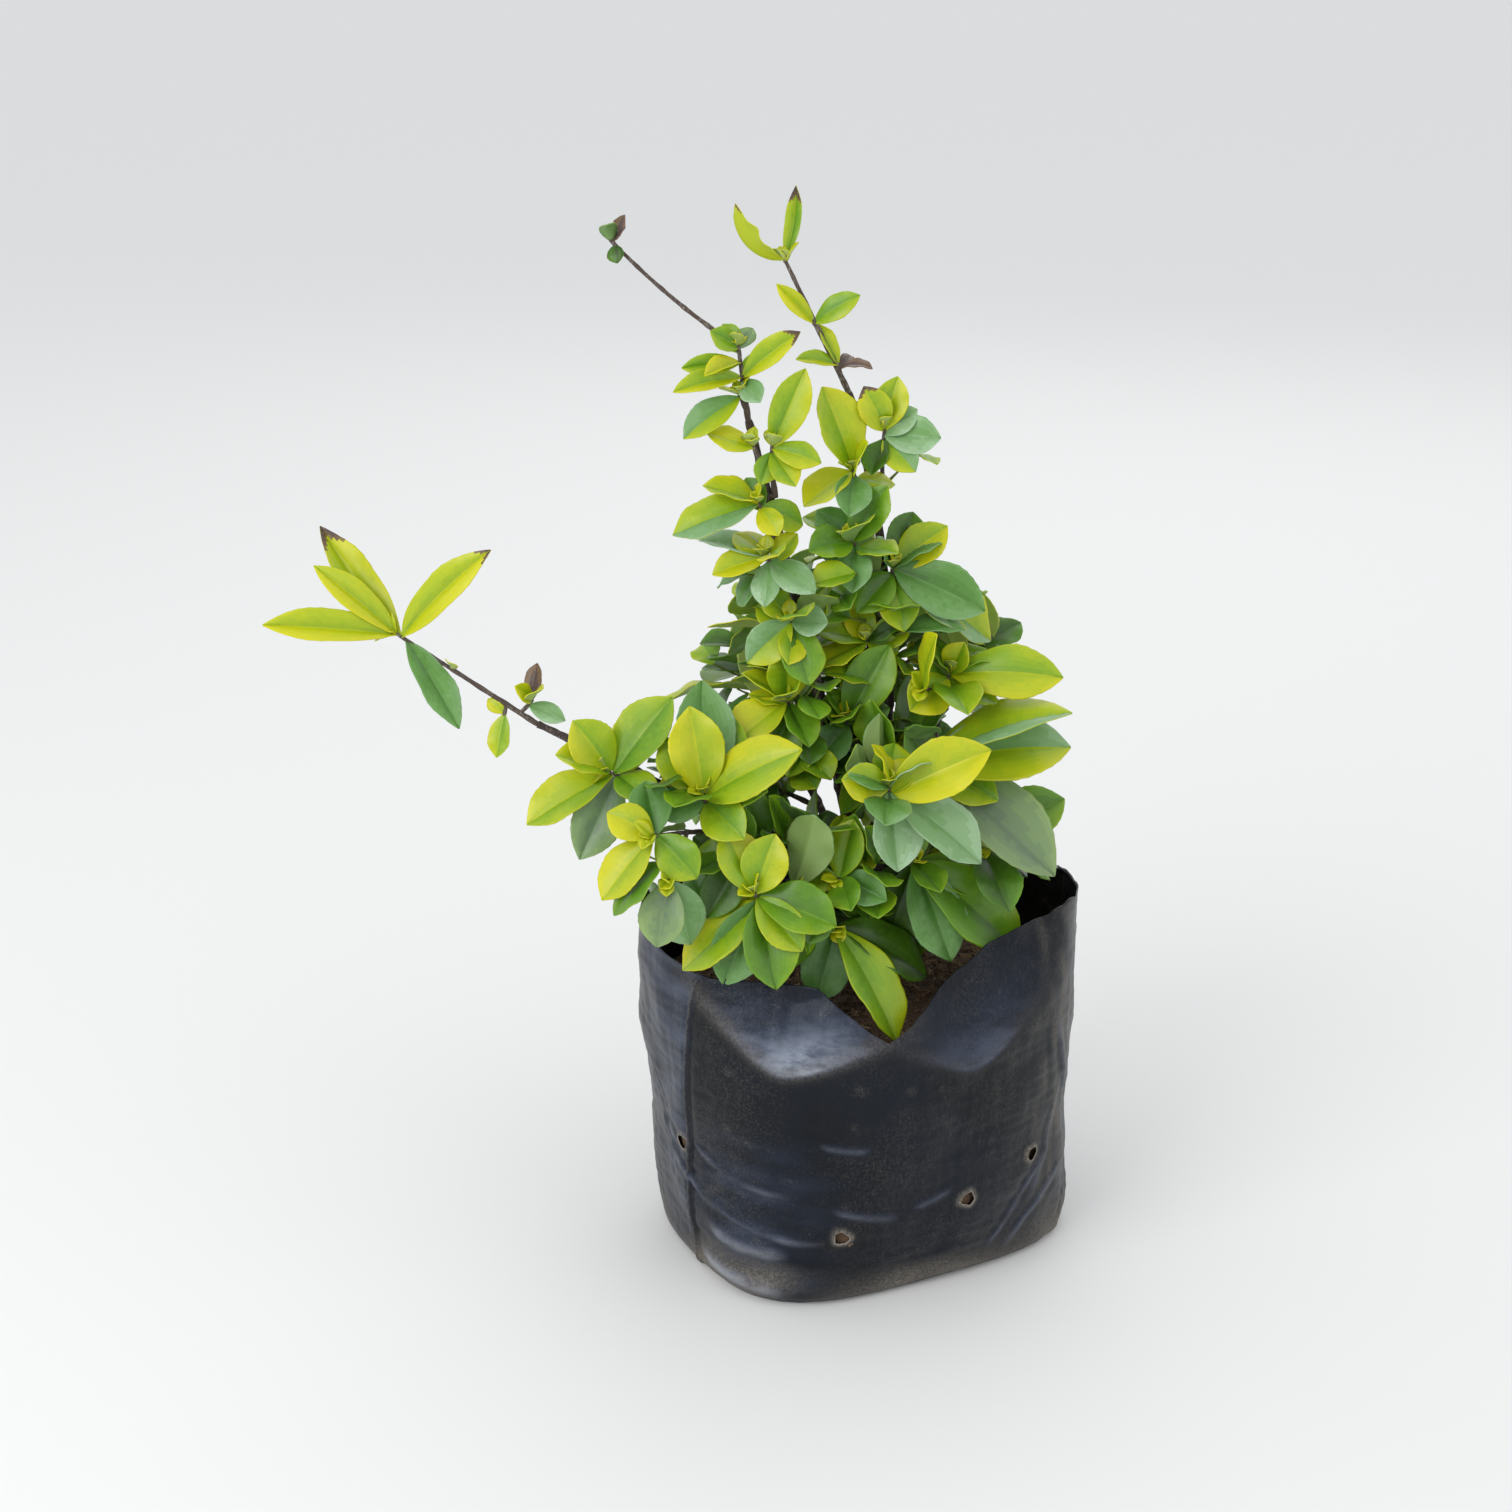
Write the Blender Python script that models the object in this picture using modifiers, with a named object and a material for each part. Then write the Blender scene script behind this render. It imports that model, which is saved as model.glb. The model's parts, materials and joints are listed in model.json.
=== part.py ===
"""Potted golden duranta: a young two-stemmed shrub in a black polythene grow bag.

Metres, +Z up. The origin is the middle of the bag's flat underside, and -Y is the side that the
photograph shows. The limbs, the twigs and the leaves grow from the tables of sizes below.
"""
import math
import random
from functools import lru_cache
from typing import NamedTuple

import bmesh
import bpy
from mathutils import Quaternion, Vector
from mathutils.bvhtree import BVHTree

UP = Vector((0, 0, 1))
LIGHT_SIDE = Vector((0, -0.62, 0.78))

# Gaps and clearances
GAP = 0.0003                # between pieces that touch
LEAF_CLEARANCE = 0.0004     # between a leaf and any other mass, limb or wall

# Bag
BAG_SEGMENTS = 40
BAG_TURN = 27.0             # degrees the bag's long side is turned from +X
FILM_THICKNESS = 0.0008
BAG_RIM_HEIGHT = 0.108
BAG_HOLE_RADIUS = 0.0028
BAG_HOLE_DEPTH = 0.016

# Soil
SOIL_WALL_HEIGHT = 0.0825
SOIL_CROWN_HEIGHT = 0.0872
SOIL_ROUGHNESS = 0.0011

# Leaves
LEAF_THICKNESS = 0.0007
STEM_RADIUS = 0.0009
TWIG_RADIUS = 0.0007
TWIG_TIP_RADIUS = 0.00055
LEAF_TRIES = 7
LEAF_ROOT = 0.0003          # how far a leaf's stalk begins behind the twig's axis
LEAF_STALK_LENGTH = 0.0010
LEAF_STALK_RADIUS = 0.00045
LONG_LEAF_LENGTH = 0.020
JOIN_TRIES = 6
JOIN_SHIFT = 0.0001
# Share of the length and of the half width at each ring of a leaf; the first two are its stalk
LONG_LEAF = ((0.0, 0.0), (0.0, 0.0), (0.42, 1.0), (0.78, 0.70), (1.0, 0.0))
SHORT_LEAF = ((0.0, 0.0), (0.0, 0.0), (0.55, 1.0), (1.0, 0.0))

BAG_COLOUR = (0.013, 0.014, 0.017)
SOIL_COLOUR = (0.060, 0.040, 0.028)
BARK_COLOUR = (0.070, 0.048, 0.042)
LEAF_GOLD = (0.420, 0.400, 0.020)
LEAF_GREEN = (0.090, 0.200, 0.030)


class BagRing(NamedTuple):
    """One level of the bag: half sizes, squareness, centre and height."""
    half_x: float
    half_y: float
    power: float
    x: float
    y: float
    height: float


BAG_RINGS = (
    BagRing(0.0340, 0.0250, 3.0, 0.0020, -0.0020, 0.0),
    BagRing(0.0615, 0.0455, 3.4, 0.0020, -0.0020, 0.0),
    BagRing(0.0640, 0.0495, 3.1, 0.0015, -0.0015, 0.0030),
    BagRing(0.0652, 0.0525, 2.9, 0.0010, -0.0010, 0.0100),
    BagRing(0.0665, 0.0570, 2.6, 0.0000, -0.0005, 0.0260),
    BagRing(0.0675, 0.0600, 2.4, -0.0005, 0.0000, 0.0450),
    BagRing(0.0692, 0.0618, 2.3, -0.0010, 0.0000, 0.0650),
    BagRing(0.0705, 0.0630, 2.2, -0.0015, 0.0000, 0.0820),
    BagRing(0.0712, 0.0637, 2.2, -0.0018, 0.0000, 0.0950),
    BagRing(0.0715, 0.0640, 2.2, -0.0020, 0.0000, BAG_RIM_HEIGHT),
)

# The rim's height all round: direction (degrees) and height
RIM_LINE = ((-180, 0.1150), (-168, 0.1150), (-150, 0.1105), (-138, 0.1070), (-104, 0.1060), (-94, 0.0990),
            (-83, 0.0915), (-76, 0.0950), (-61, 0.1045), (-30, 0.1180), (-18, 0.1210), (0, 0.1170),
            (14, 0.1160), (40, 0.1100), (75, 0.1070), (105, 0.1100), (128, 0.1130), (150, 0.1090),
            (165, 0.1120), (180, 0.1150))

# Where the film above the soil leans in: direction, half width (degrees) and depth
RIM_LEANS = ((-116.0, 20.0, 0.0045), (-52.0, 20.0, 0.0040), (-22.0, 9.0, -0.0010))

# Drain holes: direction (degrees) and height
BAG_HOLES = ((-146.0, 0.046), (-97.0, 0.026), (-57.0, 0.032), (-33.0, 0.040),
             (34.0, 0.046), (83.0, 0.026), (123.0, 0.032), (165.0, 0.040))


class Limb(NamedTuple):
    """One tapering limb: it leaves its parent at a share of it and bends through the bow to its tip."""
    parent: str
    share: float
    tip: tuple
    bow: tuple
    foot_radius: float
    tip_radius: float


class Shoot(NamedTuple):
    """One twig of a mass: where it leaves the stem, its heading, rise and length, and its leaves."""
    share: float
    heading: float
    rise: float
    length: float
    leaves: tuple           # (heading, rise, length, bend down) of each leaf at the twig's tip
    pairs: int = 0          # pairs of leaves that grow by the seeded rule
    leaf: float = 0.030     # length of those


class Mass(NamedTuple):
    """One mass of foliage: its stem, and the shoots that branch from it."""
    limb: str
    share: float
    heading: float
    rise: float
    length: float
    shoots: tuple
    slender: float = 1.0    # width of its leaves, as a share of the usual


TRUNK_FOOT = Vector((0.002, 0.005, 0.0880))

LIMBS = {
    "trunk": Limb("", 0, (-0.003, 0.005, 0.130), (0.002, 0, 0), 0.0040, 0.0030),
    "stem_left": Limb("trunk", 1.0, (-0.0365, -0.001, 0.2680), (0.001, 0.0, 0), 0.0021, 0.0011),
    "stem_right": Limb("trunk", 0.93, (-0.0060, 0.012, 0.2740), (0.0100, 0.003, 0), 0.0020, 0.0011),
    "bough_left": Limb("trunk", 0.60, (-0.1010, -0.016, 0.1770), (0.001, -0.008, 0.004), 0.0018, 0.0011),
    "bough_left_low": Limb("trunk", 0.74, (-0.0480, -0.030, 0.1530), (0.0, 0.0, 0.003), 0.0016, 0.0010),
    "bough_front": Limb("trunk", 0.45, (-0.0300, -0.040, 0.1240), (0, 0, 0.003), 0.0015, 0.0010),
    "bough_front_right": Limb("trunk", 0.70, (0.0060, -0.028, 0.1540), (0.002, -0.004, 0.0), 0.0016, 0.0010),
    "bough_right": Limb("trunk", 0.76, (0.0240, 0.002, 0.1800), (0.004, 0, -0.002), 0.0018, 0.0010),
    "bough_right_low": Limb("trunk", 0.50, (0.0300, -0.004, 0.1340), (0, 0, 0.002), 0.0015, 0.0010),
    "bough_back_left": Limb("trunk", 0.68, (-0.0280, 0.038, 0.1600), (0, 0, 0.0), 0.0016, 0.0010),
    "bough_back_right": Limb("trunk", 0.62, (0.0240, 0.040, 0.1640), (0, 0, 0.0), 0.0016, 0.0010),
}

MASSES = {
    "left_tip": Mass("bough_left", 1.0, 172, 32, 0.0513, (
        Shoot(0.12, 18, 43, 0.0057, (
            (65, 69, 0.012, 20), (-128, 42, 0.010, 25), (-20, -18, 0.013, 30), (-61, 36, 0.014, 20),)),
        Shoot(0.22, -111, -67, 0.0036, (
            (159, 34, 0.007, 30), (-122, -71, 0.014, 20),)),
        Shoot(0.62, 0, 0, 0.0000, (
            (-99, 42, 0.005, 10),)),
        Shoot(1.0, 0, 0, 0.0000, (
            (-169, 7, 0.041, 12), (171, 39, 0.033, 10), (148, 46, 0.044, -30), (-15, 45, 0.043, 32),
            (-40, -48, 0.033, 20),)),
    ), 0.64),
    "left_knee": Mass("bough_left", 0.55, -160, 25, 0.0286, (
        Shoot(1.0, 0, 0, 0.0000, (
            (-170, 57, 0.021, 30), (-160, 24, 0.019, 25), (18, 50, 0.030, 25), (-163, -27, 0.031, 20),
            (-129, -51, 0.029, 25), (-48, -18, 0.017, 30), (52, 62, 0.022, 10),)),
    )),
    "left_under": Mass("bough_left", 0.4, -125, 13, 0.0440, (
        Shoot(1.0, 0, 0, 0.0000, (
            (164, 22, 0.016, 25), (-158, -48, 0.025, 18), (-26, -41, 0.018, 25), (106, 40, 0.019, 20),)),
        Shoot(0.6, -105, -23, 0.0213, (
            (-133, -75, 0.021, 10), (44, -70, 0.025, 10),)),
    )),
    "low_left": Mass("bough_left_low", 1.0, -126, 63, 0.0083, (
        Shoot(1.0, 0, 0, 0.0000, (
            (136, 78, 0.028, 12), (141, 43, 0.022, 20), (94, 60, 0.037, 15), (-18, 32, 0.037, 32),
            (-53, -17, 0.021, 35), (-166, -2, 0.017, 20),), 1, 0.020),
        Shoot(0.4, 50, 0, 0.0068, (
            (67, 65, 0.026, 15), (-43, 22, 0.022, 25),)),
        Shoot(0.5, 150, 5, 0.0120, (), 1, 0.026),
    )),
    "front": Mass("bough_front", 1.0, -128, 51, 0.0122, (
        Shoot(1.0, 0, 0, 0.0000, (
            (18, 71, 0.020, 20), (148, 60, 0.022, 20), (-14, -17, 0.026, 30), (-36, -39, 0.022, 25),
            (-144, -63, 0.030, 15), (-66, -62, 0.028, 20), (-170, -41, 0.032, 20),)),
        Shoot(0.4, 30, 20, 0.0120, (), 1, 0.026),
    )),
    "front_skirt": Mass("bough_front", 0.4, -84, 3, 0.0217, (
        Shoot(1.0, 0, 0, 0.0000, (
            (-41, -52, 0.040, 22), (-135, -69, 0.024, 18), (15, -35, 0.037, 25), (144, 55, 0.024, 15),)),
    )),
    "right_big": Mass("bough_right", 0.55, -86, 45, 0.0133, (
        Shoot(1.0, 0, 0, 0.0000, (
            (-8, 23, 0.050, 35), (2, 7, 0.047, 40), (-24, -18, 0.026, 25),
            (-19, -37, 0.054, 35),), 2, 0.024),
        Shoot(0.4, -150, 20, 0.0120, (), 1, 0.026),
    )),
    "front_right": Mass("bough_front_right", 1.0, -86, 76, 0.0082, (
        Shoot(1.0, 0, 0, 0.0000, (
            (145, 61, 0.015, 60), (-164, 15, 0.016, 25), (-80, -61, 0.025, 25), (-16, -36, 0.036, 30),
            (-7, 28, 0.035, 25), (35, 26, 0.016, 50),), 2, 0.024),
        Shoot(0.5, 100, 20, 0.0120, (), 1, 0.026),
    )),
    "front_right_low": Mass("trunk", 0.36, -62, 47, 0.0414, (
        Shoot(1.0, 0, 0, 0.0000, (
            (-47, -60, 0.033, 20), (0, -42, 0.046, 30), (-151, -75, 0.032, 15),
            (20, -28, 0.027, 20),), 1, 0.018),
        Shoot(0.45, -150, 0, 0.0120, (), 1, 0.026),
        Shoot(0.65, 20, 30, 0.0120, (), 1, 0.026),
    )),
    "stem_right_low": Mass("stem_right", 0.13, -139, 60, 0.0308, (
        Shoot(1.0, 0, 0, 0.0000, (
            (16, 60, 0.028, 25), (-25, 12, 0.019, 20), (-137, -34, 0.018, 20), (-50, -38, 0.020, 20),
            (180, 48, 0.013, 20),), 2, 0.024),
        Shoot(0.4, 10, 20, 0.0120, (), 1, 0.026),
    )),
    "low_left_hanging": Mass("bough_left_low", 0.5, -123, 4, 0.0271, (
        Shoot(1.0, 0, 0, 0.0000, (
            (-142, -53, 0.021, 15), (-78, -60, 0.025, 15), (172, -6, 0.015, 20), (132, 73, 0.018, 15),
            (-24, -9, 0.015, 20),), 2, 0.026),
        Shoot(0.45, -30, 10, 0.0120, (), 1, 0.026),
    )),
    "front_middle": Mass("bough_front_right", 0.5, -130, -7, 0.0230, (
        Shoot(1.0, 0, 0, 0.0000, (
            (21, 74, 0.020, 15), (-172, 37, 0.018, 25), (-36, -14, 0.017, 20), (47, 28, 0.016, 20),
            (123, 56, 0.026, 10),), 2, 0.024),
        Shoot(0.5, 160, 10, 0.0120, (), 1, 0.026),
    )),
    "right": Mass("bough_right", 1.0, 0, 74, 0.0085, (
        Shoot(1.0, 0, 0, 0.0000, (
            (-25, 67, 0.012, 10), (-10, 0, 0.036, 35), (37, 19, 0.018, 25), (-132, -19, 0.020, 20),
            (-34, -29, 0.021, 25), (120, 44, 0.016, 15),), 2, 0.024),
        Shoot(0.4, -130, 10, 0.0120, (), 1, 0.026),
    )),
    "right_low": Mass("bough_right_low", 1.0, 41, -15, 0.0125, (
        Shoot(1.0, 0, 0, 0.0000, (
            (14, -24, 0.028, 25), (-51, -70, 0.023, 25), (16, 22, 0.031, 25),
            (127, 40, 0.017, 20),), 2, 0.024),
        Shoot(0.4, -80, 10, 0.0120, (), 1, 0.026),
    )),
    "stem_left_low": Mass("stem_left", 0.18, -140, 52, 0.0351, (
        Shoot(1.0, 0, 0, 0.0000, (
            (-76, 84, 0.020, 15), (-151, -31, 0.024, 25), (-63, -36, 0.017, 20), (171, 11, 0.013, 20),
            (-135, -61, 0.023, 20),), 2, 0.024),
    )),
    "stem_left_2": Mass("stem_left", 0.36, -131, 63, 0.0315, (
        Shoot(1.0, 0, 0, 0.0000, (
            (-156, -38, 0.019, 25), (-20, 3, 0.012, 25), (161, 23, 0.013, 20), (-64, -55, 0.020, 20),
            (-105, -41, 0.016, 15),), 2, 0.024),
    )),
    "stem_left_3": Mass("stem_left", 0.53, -142, 60, 0.0284, (
        Shoot(1.0, 0, 0, 0.0000, (
            (-167, -15, 0.018, 25), (159, 8, 0.023, 20), (-36, -23, 0.019, 25), (-99, -56, 0.015, 20),
            (29, 49, 0.013, 20),), 2, 0.024),
    ), 0.84),
    "stem_left_4": Mass("stem_left", 0.68, -141, 61, 0.0232, (
        Shoot(1.0, 0, 0, 0.0000, (
            (-176, -20, 0.028, 25), (173, 16, 0.018, 25), (-56, -35, 0.012, 20), (25, -26, 0.016, 25),
            (129, 48, 0.012, 20),)),
    ), 0.84),
    "stem_left_5": Mass("stem_left", 0.83, -78, 76, 0.0169, (
        Shoot(1.0, 0, 0, 0.0000, (
            (11, 67, 0.026, 15), (-15, -14, 0.016, 25), (-121, -52, 0.011, 20), (-48, -39, 0.014, 20),)),
        Shoot(0.3, -141, 57, 0.0142, (
            (-172, 18, 0.015, 20),)),
    ), 0.8),
    "left_top": Mass("stem_left", 1.0, 162, 82, 0.0225, (
        Shoot(0.1, -153, 66, 0.0060, (
            (-155, -31, 0.022, 20),)),
        Shoot(0.55, -97, 43, 0.0021, (
            (-164, -9, 0.022, 25), (-13, 39, 0.023, 20), (-56, -28, 0.011, 20),)),
        Shoot(0.8, 0, 0, 0.0000, (
            (-173, -4, 0.018, 20), (-136, -8, 0.015, 20), (32, 8, 0.011, 20),)),
        Shoot(1.0, 0, 0, 0.0000, (
            (-156, 32, 0.011, 15), (44, 42, 0.008, 15), (129, 44, 0.011, 10),)),
        Shoot(1.0, 174, 39, 0.0488, (
            (0, 64, 0.009, -40), (-110, 53, 0.007, 60), (-78, -58, 0.006, 40),)),
    ), 0.72),
    "stem_right_2": Mass("stem_right", 0.3, -150, 72, 0.0270, (
        Shoot(1.0, 0, 0, 0.0000, (
            (-155, -20, 0.020, 20), (-26, -6, 0.014, 25), (129, 55, 0.014, 20), (-100, -52, 0.020, 20),
            (25, 20, 0.020, 20),), 2, 0.026),
        Shoot(0.5, 20, 20, 0.0120, (), 1, 0.026),
    )),
    "stem_right_3": Mass("stem_right", 0.42, -79, 84, 0.0313, (
        Shoot(1.0, 0, 0, 0.0000, (
            (-10, -23, 0.032, 35), (19, 34, 0.022, 20), (-141, -35, 0.018, 25), (57, 55, 0.021, 20),
            (7, -35, 0.039, 30), (-75, -49, 0.019, 20),), 2, 0.026),
        Shoot(0.4, 160, 10, 0.0120, (), 1, 0.026),
    )),
    "stem_right_4": Mass("stem_right", 0.52, -140, 60, 0.0308, (
        Shoot(1.0, 0, 0, 0.0000, (
            (-11, 59, 0.021, 15), (-151, -4, 0.016, 25), (-94, -46, 0.017, 20), (162, 38, 0.016, 20),
            (-38, 3, 0.016, 20),), 2, 0.026),
        Shoot(0.4, 10, 20, 0.0120, (), 1, 0.026),
    )),
    "stem_right_5": Mass("stem_right", 0.64, -141, 67, 0.0333, (
        Shoot(1.0, 0, 0, 0.0000, (
            (180, 69, 0.028, 20), (-159, -31, 0.019, 25), (-65, 53, 0.015, 20), (-100, -40, 0.016, 20),
            (29, -17, 0.017, 25),)),
    )),
    "right_cluster": Mass("stem_right", 0.74, -55, 83, 0.0278, (
        Shoot(1.0, 0, 0, 0.0000, (
            (-163, 64, 0.016, 40), (26, 75, 0.017, 15), (0, 38, 0.013, 25), (-13, -1, 0.018, 30),
            (-47, -31, 0.016, 20), (-116, -47, 0.013, 20),)),
    ), 0.88),
    "right_top": Mass("stem_right", 1.0, -180, 64, 0.0438, (
        Shoot(0.12, -180, 76, 0.0042, (
            (-163, 10, 0.014, 25), (163, 61, 0.014, 10), (-16, 3, 0.011, 60), (64, 18, 0.009, 30),)),
        Shoot(0.5, -180, 52, 0.0023, (
            (-170, 46, 0.017, 12), (-12, 32, 0.017, 35),)),
        Shoot(1.0, 180, 59, 0.0017, (
            (-172, 50, 0.026, -110), (48, 76, 0.024, -80),)),
    ), 0.66),
    "back_left_high": Mass("stem_left", 0.42, 110, 42, 0.022, (Shoot(1.0, 0, 0, 0, (), 3, 0.032),)),
    "back_high": Mass("stem_right", 0.36, 100, 42, 0.024, (Shoot(1.0, 0, 0, 0, (), 3, 0.034),)),
    "back_left": Mass("bough_back_left", 1.0, 125, 40, 0.020, (Shoot(1.0, 0, 0, 0, (), 3, 0.036),
                                                             Shoot(0.5, 60, 50, 0.016, (), 2, 0.034))),
    "back_right": Mass("bough_back_right", 1.0, 50, 40, 0.020, (Shoot(1.0, 0, 0, 0, (), 3, 0.038),
                                                              Shoot(0.5, 120, 50, 0.016, (), 2, 0.034))),
    "back_left_low": Mass("bough_back_left", 0.50, 160, 12, 0.030, (Shoot(1.0, 0, 0, 0, (), 3, 0.036),
                                                                  Shoot(0.6, 110, -5, 0.020, (), 2, 0.034))),
    "back_low": Mass("bough_back_right", 0.42, 80, 8, 0.030, (Shoot(1.0, 0, 0, 0, (), 3, 0.038),
                                                            Shoot(0.6, 20, -5, 0.020, (), 2, 0.034))),
}


@lru_cache(maxsize=None)
def limb_curve(name):
    """The three points that a limb bends through; it starts just clear of its parent."""
    limb = LIMBS[name]
    start = TRUNK_FOOT.copy() if not limb.parent else limb_point(limb.parent, limb.share)
    tip = Vector(limb.tip)
    middle = (start + tip) / 2 + 2 * Vector(limb.bow)
    if limb.parent:
        start = clear_start(limb.parent, limb.share, (start, middle, tip), limb.foot_radius)
    return start, middle, tip


def bezier(a, b, c, t):
    return (1 - t) ** 2 * a + 2 * t * (1 - t) * b + t * t * c


def bezier_way(a, b, c, t):
    return (2 * (1 - t) * (b - a) + 2 * t * (c - b)).normalized()


def limb_point(name, t):
    return bezier(*limb_curve(name), t)


def limb_way(name, t):
    return bezier_way(*limb_curve(name), t)


def limb_radius(name, t):
    limb = LIMBS[name]
    return limb.foot_radius + (limb.tip_radius - limb.foot_radius) * t


def heading_way(heading, rise):
    h, r = math.radians(heading), math.radians(rise)
    return Vector((math.cos(h) * math.cos(r), math.sin(h) * math.cos(r), math.sin(r)))


class Leaf(NamedTuple):
    """One leaf: its foot, the way its midrib sets out, its upper side and its bends."""
    foot: Vector
    way: Vector
    face: Vector
    length: float
    bend: float      # degrees the midrib bends down over its length
    fold: float      # degrees each half stands up
    twist: float
    width: float


def square_to(v, w):
    """v made square to w."""
    out = v - w * v.dot(w)
    if out.length < 1e-6:
        out = w.orthogonal()
    return out.normalized()


def bow_curve(start, way, length, bow):
    tip = start + way * length
    return start, (start + tip) / 2 - UP * 2 * bow, tip


def leaf_width(length, rng):
    """Short leaves are rounder."""
    return (0.0055 + 0.41 * length) * rng.uniform(0.92, 1.10)


def marked_leaf(foot, leaf, slender, rng):
    """A leaf whose chord has the given heading and rise; its upper side turns to the light or, if curled, up."""
    heading, rise, length, bend = leaf
    chord = heading_way(heading, rise)
    face = square_to(UP if abs(bend) > 45 else LIGHT_SIDE, chord)
    face = Quaternion(chord, math.radians(rng.uniform(-26, 26))) @ face
    side = chord.cross(face)
    start = Quaternion(side, math.radians(bend) / 2)
    return Leaf(foot, start @ chord, start @ face, length, bend, rng.uniform(14, 30), rng.uniform(-12, 12),
                leaf_width(length, rng) * slender)


def ruled_leaf(foot, stem_way, turn, length, spread, rng):
    level = UP if abs(stem_way.z) < 0.95 else Vector((0, -1, 0))
    side = Quaternion(stem_way, turn) @ square_to(level, stem_way)
    a = math.radians(spread + rng.uniform(-10, 10))
    way = (stem_way * math.cos(a) + side * math.sin(a) + UP * rng.uniform(-0.14, 0.10)).normalized()
    face = square_to(stem_way * 0.8 + UP * 0.9, way)
    face = Quaternion(way, math.radians(rng.uniform(-18, 18))) @ face
    length *= rng.uniform(0.85, 1.10)
    return Leaf(foot, way, face, length, rng.uniform(14, 44), rng.uniform(14, 30), rng.uniform(-12, 12),
                leaf_width(length, rng))


def clear_start(limb, share, curve, radius):
    """Where a piece of this radius begins, so that its flat end is just clear of its limb."""
    start, middle, tip = curve
    axis = limb_way(limb, share)
    for _ in range(5):
        way = bezier_way(start, middle, tip, 0.06)
        out = axis if share > 0.995 else square_to(way, axis)
        reach = GAP if share > 0.995 else GAP + limb_radius(limb, share)
        lean = math.sqrt(max(0.0, 1 - way.dot(out) ** 2))
        start = limb_point(limb, share) + out * (reach + radius * lean)
    return start


def grow(name):
    """The twigs and leaves of one mass."""
    rng = random.Random(name)
    mass = MASSES[name]
    stem = bow_curve(limb_point(mass.limb, mass.share), heading_way(mass.heading, mass.rise), mass.length, 0)
    start, middle, tip = stem
    stem = (clear_start(mass.limb, mass.share, stem, STEM_RADIUS), middle, tip)
    twigs, leaves = [stem], []
    for shoot in mass.shoots:
        base = bezier(*stem, shoot.share)
        twig = stem
        if shoot.length > 0:
            twig = bow_curve(base, heading_way(shoot.heading, shoot.rise), shoot.length, shoot.length * 0.04)
            twigs.append(twig)
        tip = twig[2] if shoot.length > 0 else base
        way = bezier_way(*twig, 1.0)
        for k, leaf in enumerate(shoot.leaves):
            leaves.append(marked_leaf(tip - way * (0.0007 + 0.0014 * (k // 2)), leaf, mass.slender, rng))
        for i in range(shoot.pairs):
            t = (i + 1) / shoot.pairs
            size = shoot.leaf * (1.0 if i == 0 else 0.92 if t < 1 else 0.66)
            spread = 62 if t < 1 else 40
            turn = math.radians(90 * i + rng.uniform(-20, 20))
            foot = bezier(*twig, t) - way * 0.0008
            for k in (0, 1):
                leaves.append(ruled_leaf(foot, bezier_way(*twig, t), turn + math.pi * k, size, spread, rng))
    return twigs, leaves


def bump(at, centre, width):
    """A smooth hump over the direction `centre`, in degrees."""
    off = (at - centre + 180) % 360 - 180
    return math.exp(-(off / width) ** 2)


def rim_height(direction):
    """The rim's height in this direction, along straight runs of film."""
    direction = (direction + 180) % 360 - 180
    for (a, low), (b, high) in zip(RIM_LINE, RIM_LINE[1:]):
        if direction <= b:
            return low + (high - low) * (direction - a) / (b - a)
    return RIM_LINE[-1][1]


def ring_radius(ring, direction, inset=0.0):
    q = math.radians(direction - BAG_TURN)
    a, b, n = ring.half_x - inset, ring.half_y - inset, ring.power
    return (abs(math.cos(q) / a) ** n + abs(math.sin(q) / b) ** n) ** (-1 / n)


def ring_point(ring, direction, inset=0.0, share=1.0):
    """A point of one level of the bag; above the soil the film leans in here and there."""
    radius = ring_radius(ring, direction, inset) * share
    over = max(0.0, ring.height - SOIL_WALL_HEIGHT) / (BAG_RIM_HEIGHT - SOIL_WALL_HEIGHT)
    radius -= over * sum(depth * bump(direction, at, width) for at, width, depth in RIM_LEANS)
    height = ring.height + over * (rim_height(direction) - BAG_RIM_HEIGHT)
    a = math.radians(direction)
    return Vector((ring.x + radius * math.cos(a), ring.y + radius * math.sin(a), height))


def new_material(name, colour, roughness):
    material = bpy.data.materials.new(name)
    material.use_nodes = True
    shader = material.node_tree.nodes["Principled BSDF"]
    shader.inputs["Base Color"].default_value = (*colour, 1.0)
    shader.inputs["Roughness"].default_value = roughness
    shader.inputs["Metallic"].default_value = 0.0
    material.diffuse_color = (*colour, 1.0)
    return material


def add_object(name, mesh, collection):
    obj = bpy.data.objects.new(name, mesh)
    collection.objects.link(obj)
    return obj


def mesh_from(bm, name):
    mesh = bpy.data.meshes.new(name)
    bm.to_mesh(mesh)
    bm.free()
    return mesh


def shade_smooth(mesh):
    mesh.polygons.foreach_set("use_smooth", [True] * len(mesh.polygons))


def evaluated_mesh(obj, weld=1e-6):
    """The object's mesh with its modifiers applied, welded."""
    depsgraph = bpy.context.evaluated_depsgraph_get()
    mesh = bpy.data.meshes.new_from_object(obj.evaluated_get(depsgraph))
    bm = bmesh.new()
    bm.from_mesh(mesh)
    bmesh.ops.remove_doubles(bm, verts=bm.verts, dist=weld)
    bmesh.ops.recalc_face_normals(bm, faces=bm.faces)
    bm.to_mesh(mesh)
    bm.free()
    return mesh


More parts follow.
